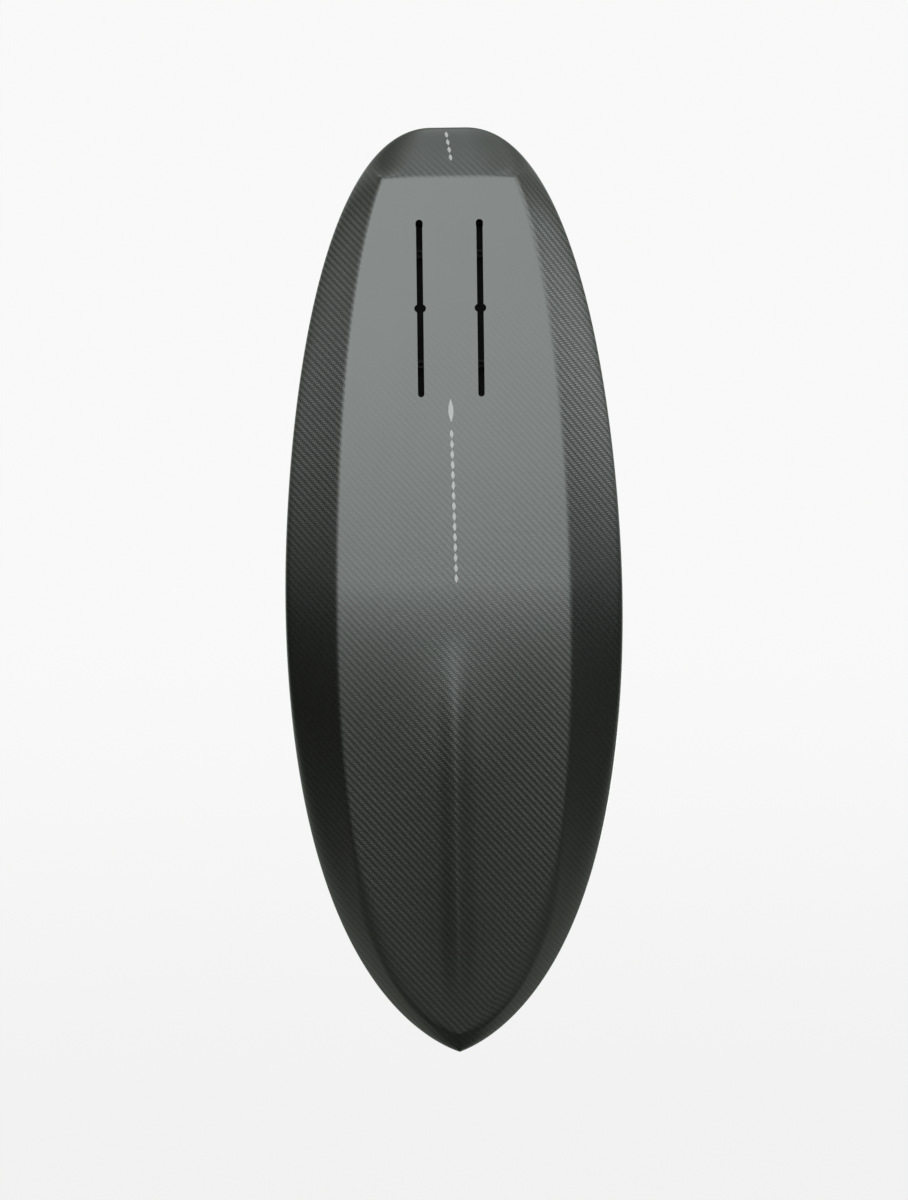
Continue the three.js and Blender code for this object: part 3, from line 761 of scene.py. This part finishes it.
def deck_carbon():
    graph = new_material("deck_carbon")
    u, v = layer_axes(graph, "Weave")
    cloud = graph.noise(graph.place(), 6.0, 3.0)
    sheen, normal = twill(graph, u, v, 1.0)
    sheen = graph.times(sheen, DECK_SHEEN)
    tint = graph.colour(sheen, sheen, sheen)
    rough = graph.plus(DECK_ROUGHNESS, graph.times(cloud, DECK_ROUGHNESS_SWING))
    return graph.surface(
        tint, rough, normal, Metallic=1.0, Coat_Weight=1.0, Coat_Roughness=0.16, Coat_IOR=1.5
    )


FINE_SPECKLE_SHARE = 0.6
SPECKLE_RANGE = (0.35, 0.65)
BROAD_SCALE = 0.05
SPECKLE_ROUGHNESS_SWING = 0.12


def speckled(name, dark, light, scale, roughness, grain, distance, **settings):
    """A moulded or foamed surface: two close tones in a fine noise, with a matching grain."""
    graph = new_material(name)
    vector = graph.place()
    fine = graph.noise(vector, scale, 4.0)
    broad = graph.noise(vector, scale * BROAD_SCALE, 2.0)
    fine_part = graph.times(fine, FINE_SPECKLE_SHARE)
    broad_part = graph.times(broad, 1 - FINE_SPECKLE_SHARE)
    share = graph.ramp(graph.plus(fine_part, broad_part), *SPECKLE_RANGE)
    colour = graph.mix_colour(share, (*dark, 1), (*light, 1))
    uneven = graph.times(graph.minus(broad, 0.5), SPECKLE_ROUGHNESS_SWING)
    rough = graph.plus(roughness, uneven)
    return graph.surface(colour, rough, graph.bump(fine, distance, grain), **settings)


TARNISH_SCALE = 120.0
TARNISH_RANGE = (0.35, 0.7)
SCRATCH_ROUGHNESS = 0.15
SCRATCH_DEPTH = 0.02 * MM
SCRATCH_STRENGTH = 0.4


def metal(name, colour, roughness, scratch_scale, tarnish):
    """A machined metal: a broad tarnish that darkens it, and a fine grain in its gloss."""
    graph = new_material(name)
    vector = graph.place()
    broad = graph.noise(vector, TARNISH_SCALE, 3.0)
    fine = graph.noise(vector, scratch_scale, 2.0)
    darker = tuple(level * tarnish for level in colour)
    tone = graph.mix_colour(graph.ramp(broad, *TARNISH_RANGE), (*darker, 1), (*colour, 1))
    rough = graph.plus(roughness, graph.times(fine, SCRATCH_ROUGHNESS))
    return graph.surface(tone, rough, graph.bump(fine, SCRATCH_DEPTH, SCRATCH_STRENGTH), Metallic=1.0)


# speckled: dark and light tones, scale, roughness, grain and its depth
# metal: colour, roughness, scale of its grain, and how dark its tarnish is
materials = {
    "bottom": bottom_carbon(),
    "deck": deck_carbon(),
    "grip": speckled("grip_foam", (0.020, 0.021, 0.023), (0.036, 0.038, 0.041), 900, 0.85, 0.5, 0.15 * MM),
    "plastic": speckled(
        "black_plastic", (0.012, 0.012, 0.013), (0.022, 0.022, 0.023), 700, 0.42, 0.25, 0.05 * MM
    ),
    "core": speckled("core_foam", (0.78, 0.76, 0.70), (0.90, 0.89, 0.85), 260, 0.85, 0.6, 0.3 * MM),
    "dense": speckled("dense_foam", (0.52, 0.44, 0.24), (0.66, 0.57, 0.34), 300, 0.8, 0.5, 0.2 * MM),
    "rubber": speckled("seal_rubber", (0.010, 0.010, 0.010), (0.02, 0.02, 0.02), 500, 0.6, 0.3, 0.05 * MM),
    "steel": metal("stainless_steel", (0.62, 0.62, 0.63), 0.22, 900, 0.8),
    "dark_steel": metal("blackened_steel", (0.03, 0.03, 0.032), 0.5, 700, 0.6),
    # The track boxes: black plastic, made a little darker and less glossy than the other black plastic as
    # painted shade for the deep slots they sit in
    "track": speckled(
        "track_plastic_painted_shade", (0.010, 0.010, 0.011), (0.016, 0.016, 0.017), 600, 0.8, 0.3, 0.05 * MM,
        Specular_IOR_Level=0.2,
    ),
    "brass": metal("brass", (0.72, 0.52, 0.22), 0.25, 800, 0.75),
}


def finish(piece, material, body, node):
    """Gives a piece smooth shading, its material and body, and hides the CAD node that it stands for."""
    piece.data.shade_smooth()
    piece.data.set_sharp_from_angle(angle=SHARP_ANGLE)
    piece.data.materials.clear()
    piece.data.materials.append(materials[material])
    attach(piece, body)
    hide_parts(node)


def repaint(node, material):
    """Gives a CAD node that stays one of the materials above."""
    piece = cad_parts[node]
    piece.data.materials.clear()
    piece.data.materials.append(materials[material])


# ---- Pieces ----


def slot_cutters(y, bottom, top):
    pocket_x = TRACK_X - SLOT_LENGTH / 2 + END_POCKET_LENGTH / 2
    outlines = [
        stadium(TRACK_X, y, SLOT_LENGTH, SLOT_WIDTH),
        stadium(TRACK_X, y, NOTCH_LENGTH, NOTCH_WIDTH),
        stadium(pocket_x, y, END_POCKET_LENGTH, END_POCKET_WIDTH),
    ]
    return [prism("cutter", points, bottom, top) for points in outlines]


def centre_of(node):
    low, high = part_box(node)
    return (low.x + high.x) / 2, (low.y + high.y) / 2


FEET = ("rear", "front")
INSERTS = [f"{foot}_{side}_{end}" for foot in FEET for side in SLOT_SIDES for end in ("aft", "fore")]


def make_skins():
    bottom = thicken(build_bottom_skin(), SKIN)
    cutters = []
    for side in SLOT_SIDES.values():
        cutters += slot_cutters(side * SLOT_Y, -CUT_ROOM, 2 * SKIN)
    finish(cut(bottom, cutters), "bottom", "board", "bottom_skin")

    deck = thicken(build_deck_skin(), SKIN)
    fittings = [(f"{name}_plug", PLUG_RADIUS) for name in INSERTS]
    fittings += [("leash_plug_cup", LEASH_CUP_RADIUS), ("vent_housing", VENT_RADIUS)]
    cutters = []
    for node, radius in fittings:
        width = 2 * (radius + FIT_GAP)
        hole = stadium(*centre_of(node), width, width)
        cutters.append(prism("cutter", hole, DECK - 2 * SKIN, DECK + CUT_ROOM))
    finish(cut(deck, cutters), "deck", "board", "deck_skin")


PAD_EDGE = 1.6 * MM
PAD_EDGE_STEPS = 4
PAD_CORNER = 14 * MM
PAD_SIDE_POINTS = 41
GROOVE_PITCH = 11 * MM
GROOVE_WIDTH = 2.6 * MM
GROOVE_DEPTH = 1.5 * MM
GROOVE_MARGIN = 16 * MM
GROOVE_LIFT = 0.5 * MM
GROOVE_SAMPLES = 400
SHORTEST_GROOVE = 3 * GROOVE_PITCH
WINDOW_MARGIN = 5 * MM


def pad_outline(low, high):
    """A pad's plan, anticlockwise, following the deck's edge."""
    x = np.linspace(low.x, high.x, PAD_SIDE_POINTS)
    half = deck_half_width(x + LENGTH / 2) - PAD_MARGIN
    right = np.column_stack([x, -half])
    left = np.column_stack([x[::-1], half[::-1]])
    points = np.concatenate([right, left])
    corners = {0, len(right) - 1, len(right), len(points) - 1}
    keep = set(range(len(points))) - corners
    return round_off(points, PAD_CORNER, steps=6, keep=keep)


def grooves(low, high, windows):
    """One cutter of V grooves along X, which stop short of the pad's edge and its windows."""
    x = np.linspace(low.x + GROOVE_MARGIN, high.x - GROOVE_MARGIN, GROOVE_SAMPLES)
    half = deck_half_width(x + LENGTH / 2) - PAD_MARGIN - GROOVE_MARGIN
    work = bmesh.new()
    count = int(half.max() / GROOVE_PITCH)
    for k in range(-count, count + 1):
        y = k * GROOVE_PITCH
        free = half >= abs(y)
        for wx, wy in windows:
            near_y = abs(y - wy) < WINDOW_WIDTH / 2 + WINDOW_MARGIN
            near_x = np.abs(x - wx) < WINDOW_LENGTH / 2 + WINDOW_MARGIN
            free &= ~(near_x & near_y)
        edges = np.flatnonzero(np.diff(np.concatenate([[0], free.astype(int), [0]])))
        for start, end in zip(edges[::2], edges[1::2] - 1):
            if x[end] - x[start] > SHORTEST_GROOVE:
                add_groove(work, x[start], x[end], y)
    mesh = bpy.data.meshes.new("cutter")
    work.to_mesh(mesh)
    work.free()
    return place("cutter", mesh)


def add_groove(work, start, end, y):
    """Adds one V-shaped bar, which tapers up at both ends and stands a little above the pad."""
    spread = GROOVE_WIDTH / 2 * (1 + GROOVE_LIFT / GROOVE_DEPTH)
    taper = GROOVE_WIDTH
    top = PAD_TOP + GROOVE_LIFT
    tail = [work.verts.new(p) for p in ((start, y - spread, top), (start, y + spread, top))]
    nose = [work.verts.new(p) for p in ((end, y - spread, top), (end, y + spread, top))]
    root = [work.verts.new((x, y, PAD_TOP - GROOVE_DEPTH)) for x in (start + taper, end - taper)]
    work.faces.new([tail[0], root[0], root[1], nose[0]])
    work.faces.new([tail[1], nose[1], root[1], root[0]])
    work.faces.new([tail[0], nose[0], nose[1], tail[1]])
    work.faces.new([tail[0], tail[1], root[0]])
    work.faces.new([nose[1], nose[0], root[1]])


def make_pads():
    for name, feet in (("rear_pad", "rear"), ("middle_pad", None), ("front_pad", "front")):
        low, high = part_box(name)
        points = pad_outline(low, high)
        layers = [(points, PAD_BOTTOM), (points, PAD_TOP - PAD_EDGE)]
        for angle in np.linspace(0, math.pi / 2, PAD_EDGE_STEPS + 1)[1:]:
            shift = PAD_EDGE * (1 - math.cos(angle))
            layers.append((inset_outline(points, shift), PAD_TOP - PAD_EDGE * (1 - math.sin(angle))))
        pad = stacked(f"{name}_foam", layers)
        windows = []
        if feet:
            for side in SLOT_SIDES:
                aft, fore = (centre_of(f"{feet}_{side}_{end}_plug") for end in ("aft", "fore"))
                windows.append(((aft[0] + fore[0]) / 2, aft[1]))
        cutters = [
            prism("cutter", stadium(x, y, WINDOW_LENGTH, WINDOW_WIDTH), PAD_BOTTOM - MM, PAD_TOP + MM)
            for x, y in windows
        ]
        cut(pad, [*cutters, grooves(low, high, windows)])
        finish(pad, "grip", "board", name)


INSERT_RADIUS = 5 * MM
INSERT_DEPTH = 18 * MM
INSERT_CHAMFER = 0.3 * MM
INSERT_SIDES = 48
THREAD_RADIUS = 2.5 * MM
THREAD_PITCH = 1 * MM
THREAD_DEPTH = 0.45 * MM
THREAD_START = 1.2 * MM
HOLE_DEPTH = 14 * MM
PLUG_CHAMFER = 0.35 * MM


def make_inserts():
    for name in INSERTS:
        x, y = centre_of(f"{name}_insert")
        bottom = DECK - INSERT_DEPTH
        floor = DECK - HOLE_DEPTH
        side = thread_profile(THREAD_RADIUS, THREAD_DEPTH, THREAD_PITCH, floor, DECK - THREAD_START)
        profile = [(0, floor), *side, (THREAD_RADIUS + 0.9 * MM, DECK - 0.1 * MM)]
        profile += [(THREAD_RADIUS + MM, DECK), (INSERT_RADIUS - INSERT_CHAMFER, DECK)]
        profile += [(INSERT_RADIUS, DECK - INSERT_CHAMFER), (INSERT_RADIUS, bottom), (0, bottom)]
        insert = turned(f"{name}_brass", profile, x, y, INSERT_SIDES)
        finish(insert, "brass", "board", f"{name}_insert")
        make_plug(name, x, y)


def make_plug(name, x, y):
    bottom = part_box(f"{name}_plug")[0].z
    room = INSERT_RADIUS + FIT_GAP
    floor = DECK - INSERT_DEPTH - FIT_GAP
    edge = DECK - PLUG_CHAMFER
    profile = [(0, bottom), (PLUG_RADIUS, bottom), (PLUG_RADIUS, edge)]
    profile += [(PLUG_RADIUS - PLUG_CHAMFER, DECK), (room + PLUG_CHAMFER, DECK)]
    profile += [(room, edge), (room, floor), (0, floor)]
    plug = turned(f"{name}_body", profile, x, y)
    finish(plug, "plastic", "board", f"{name}_plug")


NUT_HOLE = 3.4 * MM
NUT_THREAD_DEPTH = 0.5 * MM
NUT_THREAD_PITCH = 1.25 * MM
NUT_EDGE = 0.6 * MM


def make_nuts():
    for side in SLOT_SIDES:
        for end in ("rear", "front"):
            node = f"{side}_{end}_nut"
            low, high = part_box(node)
            x, y = centre_of(node)
            plate = stadium(x, y, high.x - low.x, high.y - low.y, 24)
            layers = [(inset_outline(plate, NUT_EDGE), low.z), (plate, low.z + NUT_EDGE)]
            layers += [(plate, high.z - NUT_EDGE), (inset_outline(plate, NUT_EDGE), high.z)]
            nut = stacked(f"{side}_{end}_track_nut", layers)
            rod = thread_profile(NUT_HOLE, NUT_THREAD_DEPTH, NUT_THREAD_PITCH, low.z - MM, high.z + MM)
            profile = [(0, rod[0][1]), *rod, (0, rod[-1][1])]
            cut(nut, [turned("cutter", profile, x, y, 32)])
            finish(nut, "dark_steel", f"{side}_{end}_slider", node)


FITTING_FLOOR = 3 * MM
FLANGE_EDGE = 0.5 * MM
LEASH_BORE = 12 * MM
LEASH_BORE_CORNER = 4 * MM
LEASH_ROUNDING = 0.5 * MM


def make_leash_plug():
    x, y = centre_of("leash_plug_cup")
    low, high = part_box("leash_plug_cup")
    flange, outer, bore = (high.x - low.x) / 2, LEASH_CUP_RADIUS, LEASH_BORE
    seat, floor = DECK + FIT_GAP, low.z + FITTING_FLOOR
    profile = [(0, low.z), (outer, low.z), (outer, seat), (flange, seat), (flange, seat + FLANGE_EDGE)]
    profile += [(flange - 1.2 * MM, high.z), (bore + MM, high.z), (bore, high.z - 0.8 * MM)]
    profile += [(bore, floor + LEASH_BORE_CORNER), (bore - LEASH_BORE_CORNER, floor), (0, floor)]
    rounded = round_off(profile, LEASH_ROUNDING, steps=3, closed=False)
    cup = turned("leash_cup", [tuple(p) for p in rounded], x, y)
    bar_low, bar_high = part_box("leash_plug_bar")
    radius = (bar_high.z - bar_low.z) / 2
    middle = (bar_high.z + bar_low.z) / 2
    room = cross_bar("cutter", x, middle, radius + FIT_GAP, bar_high.y + FIT_GAP)
    cut(cup, [room])
    finish(cup, "plastic", "board", "leash_plug_cup")
    bar = cross_bar("leash_bar", x, middle, radius, bar_high.y)
    finish(bar, "steel", "board", "leash_plug_bar")


def cross_bar(name, x, z, radius, half_length):
    """A bar along Y with slightly rounded ends."""
    soft = 0.4 * MM
    profile = [(0, -half_length), (radius - soft, -half_length), (radius, -half_length + soft)]
    profile += [(radius, half_length - soft), (radius - soft, half_length), (0, half_length)]
    bar = turned(name, profile, 0, 0, 32)
    bar.data.transform(Matrix.Translation((x, 0, z)) @ Matrix.Rotation(-math.pi / 2, 4, "X"))
    return bar


VENT_RECESS = 8.6 * MM
VENT_RECESS_DEPTH = 4 * MM
VENT_BORE = 5.3 * MM
VENT_LEAK = 1.5 * MM
VENT_ROUNDING = 0.3 * MM
SCREW_HEAD_HEIGHT = 3.3 * MM
SCREW_THREAD = 4.6 * MM
SCREW_THREAD_DEPTH = 0.4 * MM
SCREW_TIP = 4.2 * MM
HEX_RADIUS = 3 * MM
HEX_DEPTH = 2.4 * MM
SEAL_SECTION_SIDES = 16


def make_vent():
    x, y = centre_of("vent_housing")
    make_vent_housing(x, y)
    make_vent_screw(x, y)
    make_vent_seal(x, y)


def make_vent_housing(x, y):
    low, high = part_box("vent_housing")
    flange, seat = (high.x - low.x) / 2, DECK + FIT_GAP
    ledge, floor = DECK - VENT_RECESS_DEPTH, low.z + FITTING_FLOOR
    profile = [(VENT_LEAK, low.z), (VENT_RADIUS, low.z), (VENT_RADIUS, seat), (flange, seat)]
    profile += [(flange, seat + FLANGE_EDGE), (flange - MM, high.z), (VENT_RECESS + 0.6 * MM, high.z)]
    profile += [(VENT_RECESS, high.z - 0.6 * MM), (VENT_RECESS, ledge), (VENT_BORE, ledge)]
    profile += [(VENT_BORE, floor), (VENT_LEAK, floor)]
    rounded = round_off(profile, VENT_ROUNDING, steps=3)
    housing = turned("vent_body", [tuple(p) for p in rounded], x, y)
    finish(housing, "plastic", "board", "vent_housing")


def make_vent_screw(x, y):
    low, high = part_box("vent_screw")
    head, head_bottom = (high.x - low.x) / 2, high.z - SCREW_HEAD_HEIGHT
    thread = thread_profile(SCREW_THREAD, SCREW_THREAD_DEPTH, MM, low.z + 0.4 * MM, head_bottom - MM)
    profile = [(0, low.z), (SCREW_TIP, low.z), *thread, (SCREW_THREAD, head_bottom)]
    profile += [(head - 0.3 * MM, head_bottom), (head, head_bottom + 0.3 * MM)]
    profile += [(head, high.z - 0.8 * MM), (head - 0.8 * MM, high.z), (0, high.z)]
    screw = turned("vent_screw_body", profile, x, y)
    turns = np.arange(6) * math.pi / 3
    hexagon = np.array([x, y]) + HEX_RADIUS * np.stack([np.cos(turns), np.sin(turns)], axis=-1)
    cut(screw, [prism("cutter", hexagon, high.z - HEX_DEPTH, high.z + MM)])
    finish(screw, "steel", "vent_plug", "vent_screw")


def make_vent_seal(x, y):
    low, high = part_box("vent_oring")
    wire, middle = (high.z - low.z) / 2, (low.z + high.z) / 2
    ring = (high.x - low.x) / 2 - wire
    turns = np.linspace(0, 2 * math.pi, SEAL_SECTION_SIDES + 1)[:-1]
    section = [(ring + wire * math.cos(angle), middle + wire * math.sin(angle)) for angle in turns]
    seal = turned("vent_seal_ring", section, x, y)
    finish(seal, "rubber", "vent_seal", "vent_oring")


CORE_NODES = {
    "foam_core": "core",
    "deck_stiffener_sheet": "dense",
    "track_block": "dense",
    "left_track_box": "track",
    "right_track_box": "track",
}


def repaint_core():
    for node, material in CORE_NODES.items():
        repaint(node, material)


# ---- Stage ----

CAMERA_DISTANCE = 3.2
CAMERA_X = 0.0114
CAMERA_Y = 0.0
CAMERA_ROLL = math.radians(0.73)
SCALE_AT_BOTTOM = 1.4915 * MM
IMAGE_HEIGHT = 1200
SENSOR = 36.0


def make_camera():
    """Straight up at the bottom, with the tail at the top of the picture."""
    data = bpy.data.cameras.new("camera")
    data.sensor_width = SENSOR
    data.lens = SENSOR / 2 / (SCALE_AT_BOTTOM * IMAGE_HEIGHT / 2 / CAMERA_DISTANCE)
    data.clip_start, data.clip_end = 0.05, 200
    camera = bpy.data.objects.new("camera", data)
    bpy.context.scene.collection.objects.link(camera)
    up = Vector((-math.cos(CAMERA_ROLL), -math.sin(CAMERA_ROLL), 0))
    back = Vector((0, 0, -1))
    right = up.cross(back)
    turn = Matrix((right, up, back)).transposed()
    camera.matrix_world = Matrix.Translation((CAMERA_X, CAMERA_Y, -CAMERA_DISTANCE)) @ turn.to_4x4()
    bpy.context.scene.camera = camera


BACKDROP = 0.94
BACKDROP_LOW = 0.88
BACKDROP_TINT = (1.0, 1.005, 0.998, 1)
FLOOR_COLOUR = (0.9, 0.905, 0.9, 1)
FLOOR_FADE = (1.2, 9.0)
FLOOR_REACH = 60
FLOOR_GAP = 0.5 * MM


def make_floor():
    """A pale floor seen only from above. Far from the board it takes the backdrop's own brightness."""
    graph = new_material("floor_paint")
    distance = graph.node("ShaderNodeVectorMath")
    distance.operation = "LENGTH"
    graph.feed(distance.inputs[0], graph.place())
    backdrop = tuple(BACKDROP * level for level in BACKDROP_TINT[:3])
    near = graph.node("ShaderNodeBsdfDiffuse", Color=FLOOR_COLOUR)
    far = graph.node("ShaderNodeEmission", Color=(*backdrop, 1))
    under = graph.node("ShaderNodeBsdfTransparent")
    top = graph.node("ShaderNodeMixShader", Fac=graph.ramp(distance.outputs["Value"], *FLOOR_FADE))
    backfacing = graph.node("ShaderNodeNewGeometry").outputs["Backfacing"]
    mixed = graph.node("ShaderNodeMixShader", Fac=backfacing)
    graph.feed(top.inputs[1], near.outputs[0])
    graph.feed(top.inputs[2], far.outputs[0])
    graph.feed(mixed.inputs[1], top.outputs[0])
    graph.feed(mixed.inputs[2], under.outputs[0])
    graph.feed(graph.output.inputs["Surface"], mixed.outputs[0])
    turns = ((-1, -1), (1, -1), (1, 1), (-1, 1))
    corners = [(x * FLOOR_REACH, y * FLOOR_REACH, -FLOOR_GAP) for x, y in turns]
    mesh = bpy.data.meshes.new("floor")
    mesh.from_pydata(corners, [], [(0, 1, 2, 3)])
    mesh.materials.append(graph.owner)
    floor = place("floor", mesh)
    floor.visible_shadow = False
    floor.visible_diffuse = False
    floor.visible_glossy = False


KEY_PLACE = (0.9, -1.7, 2.3)
KEY_SIZE = 0.8
KEY_POWER = 14


def make_key_light():
    """One soft square light above, aimed at the middle of the board."""
    data = bpy.data.lights.new("key_above", "AREA")
    data.shape = "RECTANGLE"
    data.size = KEY_SIZE
    data.size_y = KEY_SIZE
    data.energy = KEY_POWER
    light = bpy.data.objects.new("key_above", data)
    bpy.context.scene.collection.objects.link(light)
    light.location = KEY_PLACE
    light.rotation_euler = (-Vector(KEY_PLACE)).to_track_quat("-Z", "Y").to_euler()
    light.visible_camera = False


SKY_LIGHT = 1.05
HORIZON_LIGHT = 0.55
# Each stop is (degrees from straight down, brightness), lengthwise towards the nose or sideways
# towards the left.
MAIN_LENGTHWISE = [
    (-90, 0.9), (-65, 1.4), (-49, 0.72), (-25, 1.9), (-11, 2.18), (-4, 2.25),
    (-1, 2.3), (2, 0.98), (5, 0.42), (8, 0.14), (11, 0.0), (90, 0.0),
]
MAIN_SIDEWAYS = [
    (-90, 0.2), (-42, 0.8), (-25, 0.72), (-10, 0.8), (0, 1.0),
    (8, 1.08), (20, 0.72), (30, 0.47), (42, 0.38), (90, 0.1),
]
GLOW_LENGTHWISE = [
    (-90, 0.0), (3, 0.0), (8, 0.14), (13, 0.16),
    (22, 0.21), (32, 0.25), (44, 0.08), (90, 0.05),
]
GLOW_SIDEWAYS = [(-90, 0.2), (-42, 0.35), (-30, 0.4), (-10, 1.0), (8, 1.0), (30, 0.2), (90, 0.15)]
SIDE_FALL_SHIFT = 0.27
NOSE_FILL = 0.4
NOSE_FILL_LENGTHWISE = (math.radians(24), math.radians(42))
NOSE_FILL_SIDEWAYS = (math.radians(20), math.radians(45))
BACKDROP_FALL = (0.0, 0.25)
BACKDROP_OVERHEAD = (0.5, 0.9)
SKY_RISE = (0.0, 0.8)
HORIZON_BLEND = (-0.35, -0.01)
DARK_TINT = (0.99, 1.03, 0.91, 1)
BRIGHT_TINT = (0.972, 1.0, 1.008, 1)
TINT_RANGE = (0.2, 1.0)


def stops_curve(graph, angle, stops):
    """A brightness read from its stops by an angle from -90 to 90 degrees."""
    made = graph.tree.nodes.new("ShaderNodeValToRGB")
    graph.feed(made.inputs[0], graph.plus(graph.math("DIVIDE", angle, math.pi), 0.5))
    while len(made.color_ramp.elements) < len(stops):
        made.color_ramp.elements.new(0.5)
    for element, (degrees, level) in zip(made.color_ramp.elements, stops):
        element.position = degrees / 180 + 0.5
        element.color = (level, level, level, 1)
    return made.outputs[0]


def light_from_below(graph, split):
    """A soft light over the tail that fades to the nose and the sides, a faint glow, and a nose fill."""
    down = graph.math("MAXIMUM", graph.times(split.outputs["Z"], -1.0), 0.001)
    angle_x = graph.math("ARCTAN2", split.outputs["X"], down)
    angle_y = graph.math("ARCTAN2", split.outputs["Y"], down)
    side = graph.math("ABSOLUTE", angle_y)
    shifted = graph.plus(angle_x, graph.times(side, SIDE_FALL_SHIFT))
    main = graph.times(
        stops_curve(graph, shifted, MAIN_LENGTHWISE), stops_curve(graph, angle_y, MAIN_SIDEWAYS)
    )
    glow = graph.times(
        stops_curve(graph, angle_x, GLOW_LENGTHWISE), stops_curve(graph, angle_y, GLOW_SIDEWAYS)
    )
    near_nose = graph.ramp(angle_x, *NOSE_FILL_LENGTHWISE)
    fill = graph.times(graph.times(near_nose, graph.ramp(side, *NOSE_FILL_SIDEWAYS)), NOSE_FILL)
    return graph.plus(graph.plus(main, glow), fill)


def make_world():
    """The studio round the board: a plain backdrop for the camera, and soft lights for the board."""
    world = bpy.data.worlds.new("studio")
    bpy.context.scene.world = world
    graph = Graph(world, "ShaderNodeOutputWorld")
    direction = graph.node("ShaderNodeTexCoord").outputs["Generated"]
    split = graph.node("ShaderNodeSeparateXYZ", Vector=direction)
    seen = graph.node("ShaderNodeLightPath").outputs["Is Camera Ray"]
    ahead, height = split.outputs["X"], split.outputs["Z"]
    low = graph.times(graph.ramp(ahead, *BACKDROP_FALL), graph.ramp(height, *BACKDROP_OVERHEAD))
    backdrop = graph.mix(low, BACKDROP, BACKDROP_LOW)
    sky = graph.mix(graph.ramp(height, *SKY_RISE), HORIZON_LIGHT, SKY_LIGHT)
    above = graph.mix(seen, sky, backdrop)
    level = graph.mix(graph.ramp(height, *HORIZON_BLEND), light_from_below(graph, split), above)
    tint = graph.mix_colour(graph.ramp(level, *TINT_RANGE), DARK_TINT, BRIGHT_TINT)
    shown = graph.mix_colour(seen, tint, BACKDROP_TINT)
    background = graph.node("ShaderNodeBackground", Color=shown, Strength=level)
    graph.feed(graph.output.inputs["Surface"], background.outputs[0])


def make_stage():
    make_camera()
    make_floor()
    make_world()
    make_key_light()
    bpy.context.scene.view_settings.view_transform = "Standard"


make_stage()
make_skins()
make_pads()
make_inserts()
make_nuts()
make_leash_plug()
make_vent()
repaint_core()
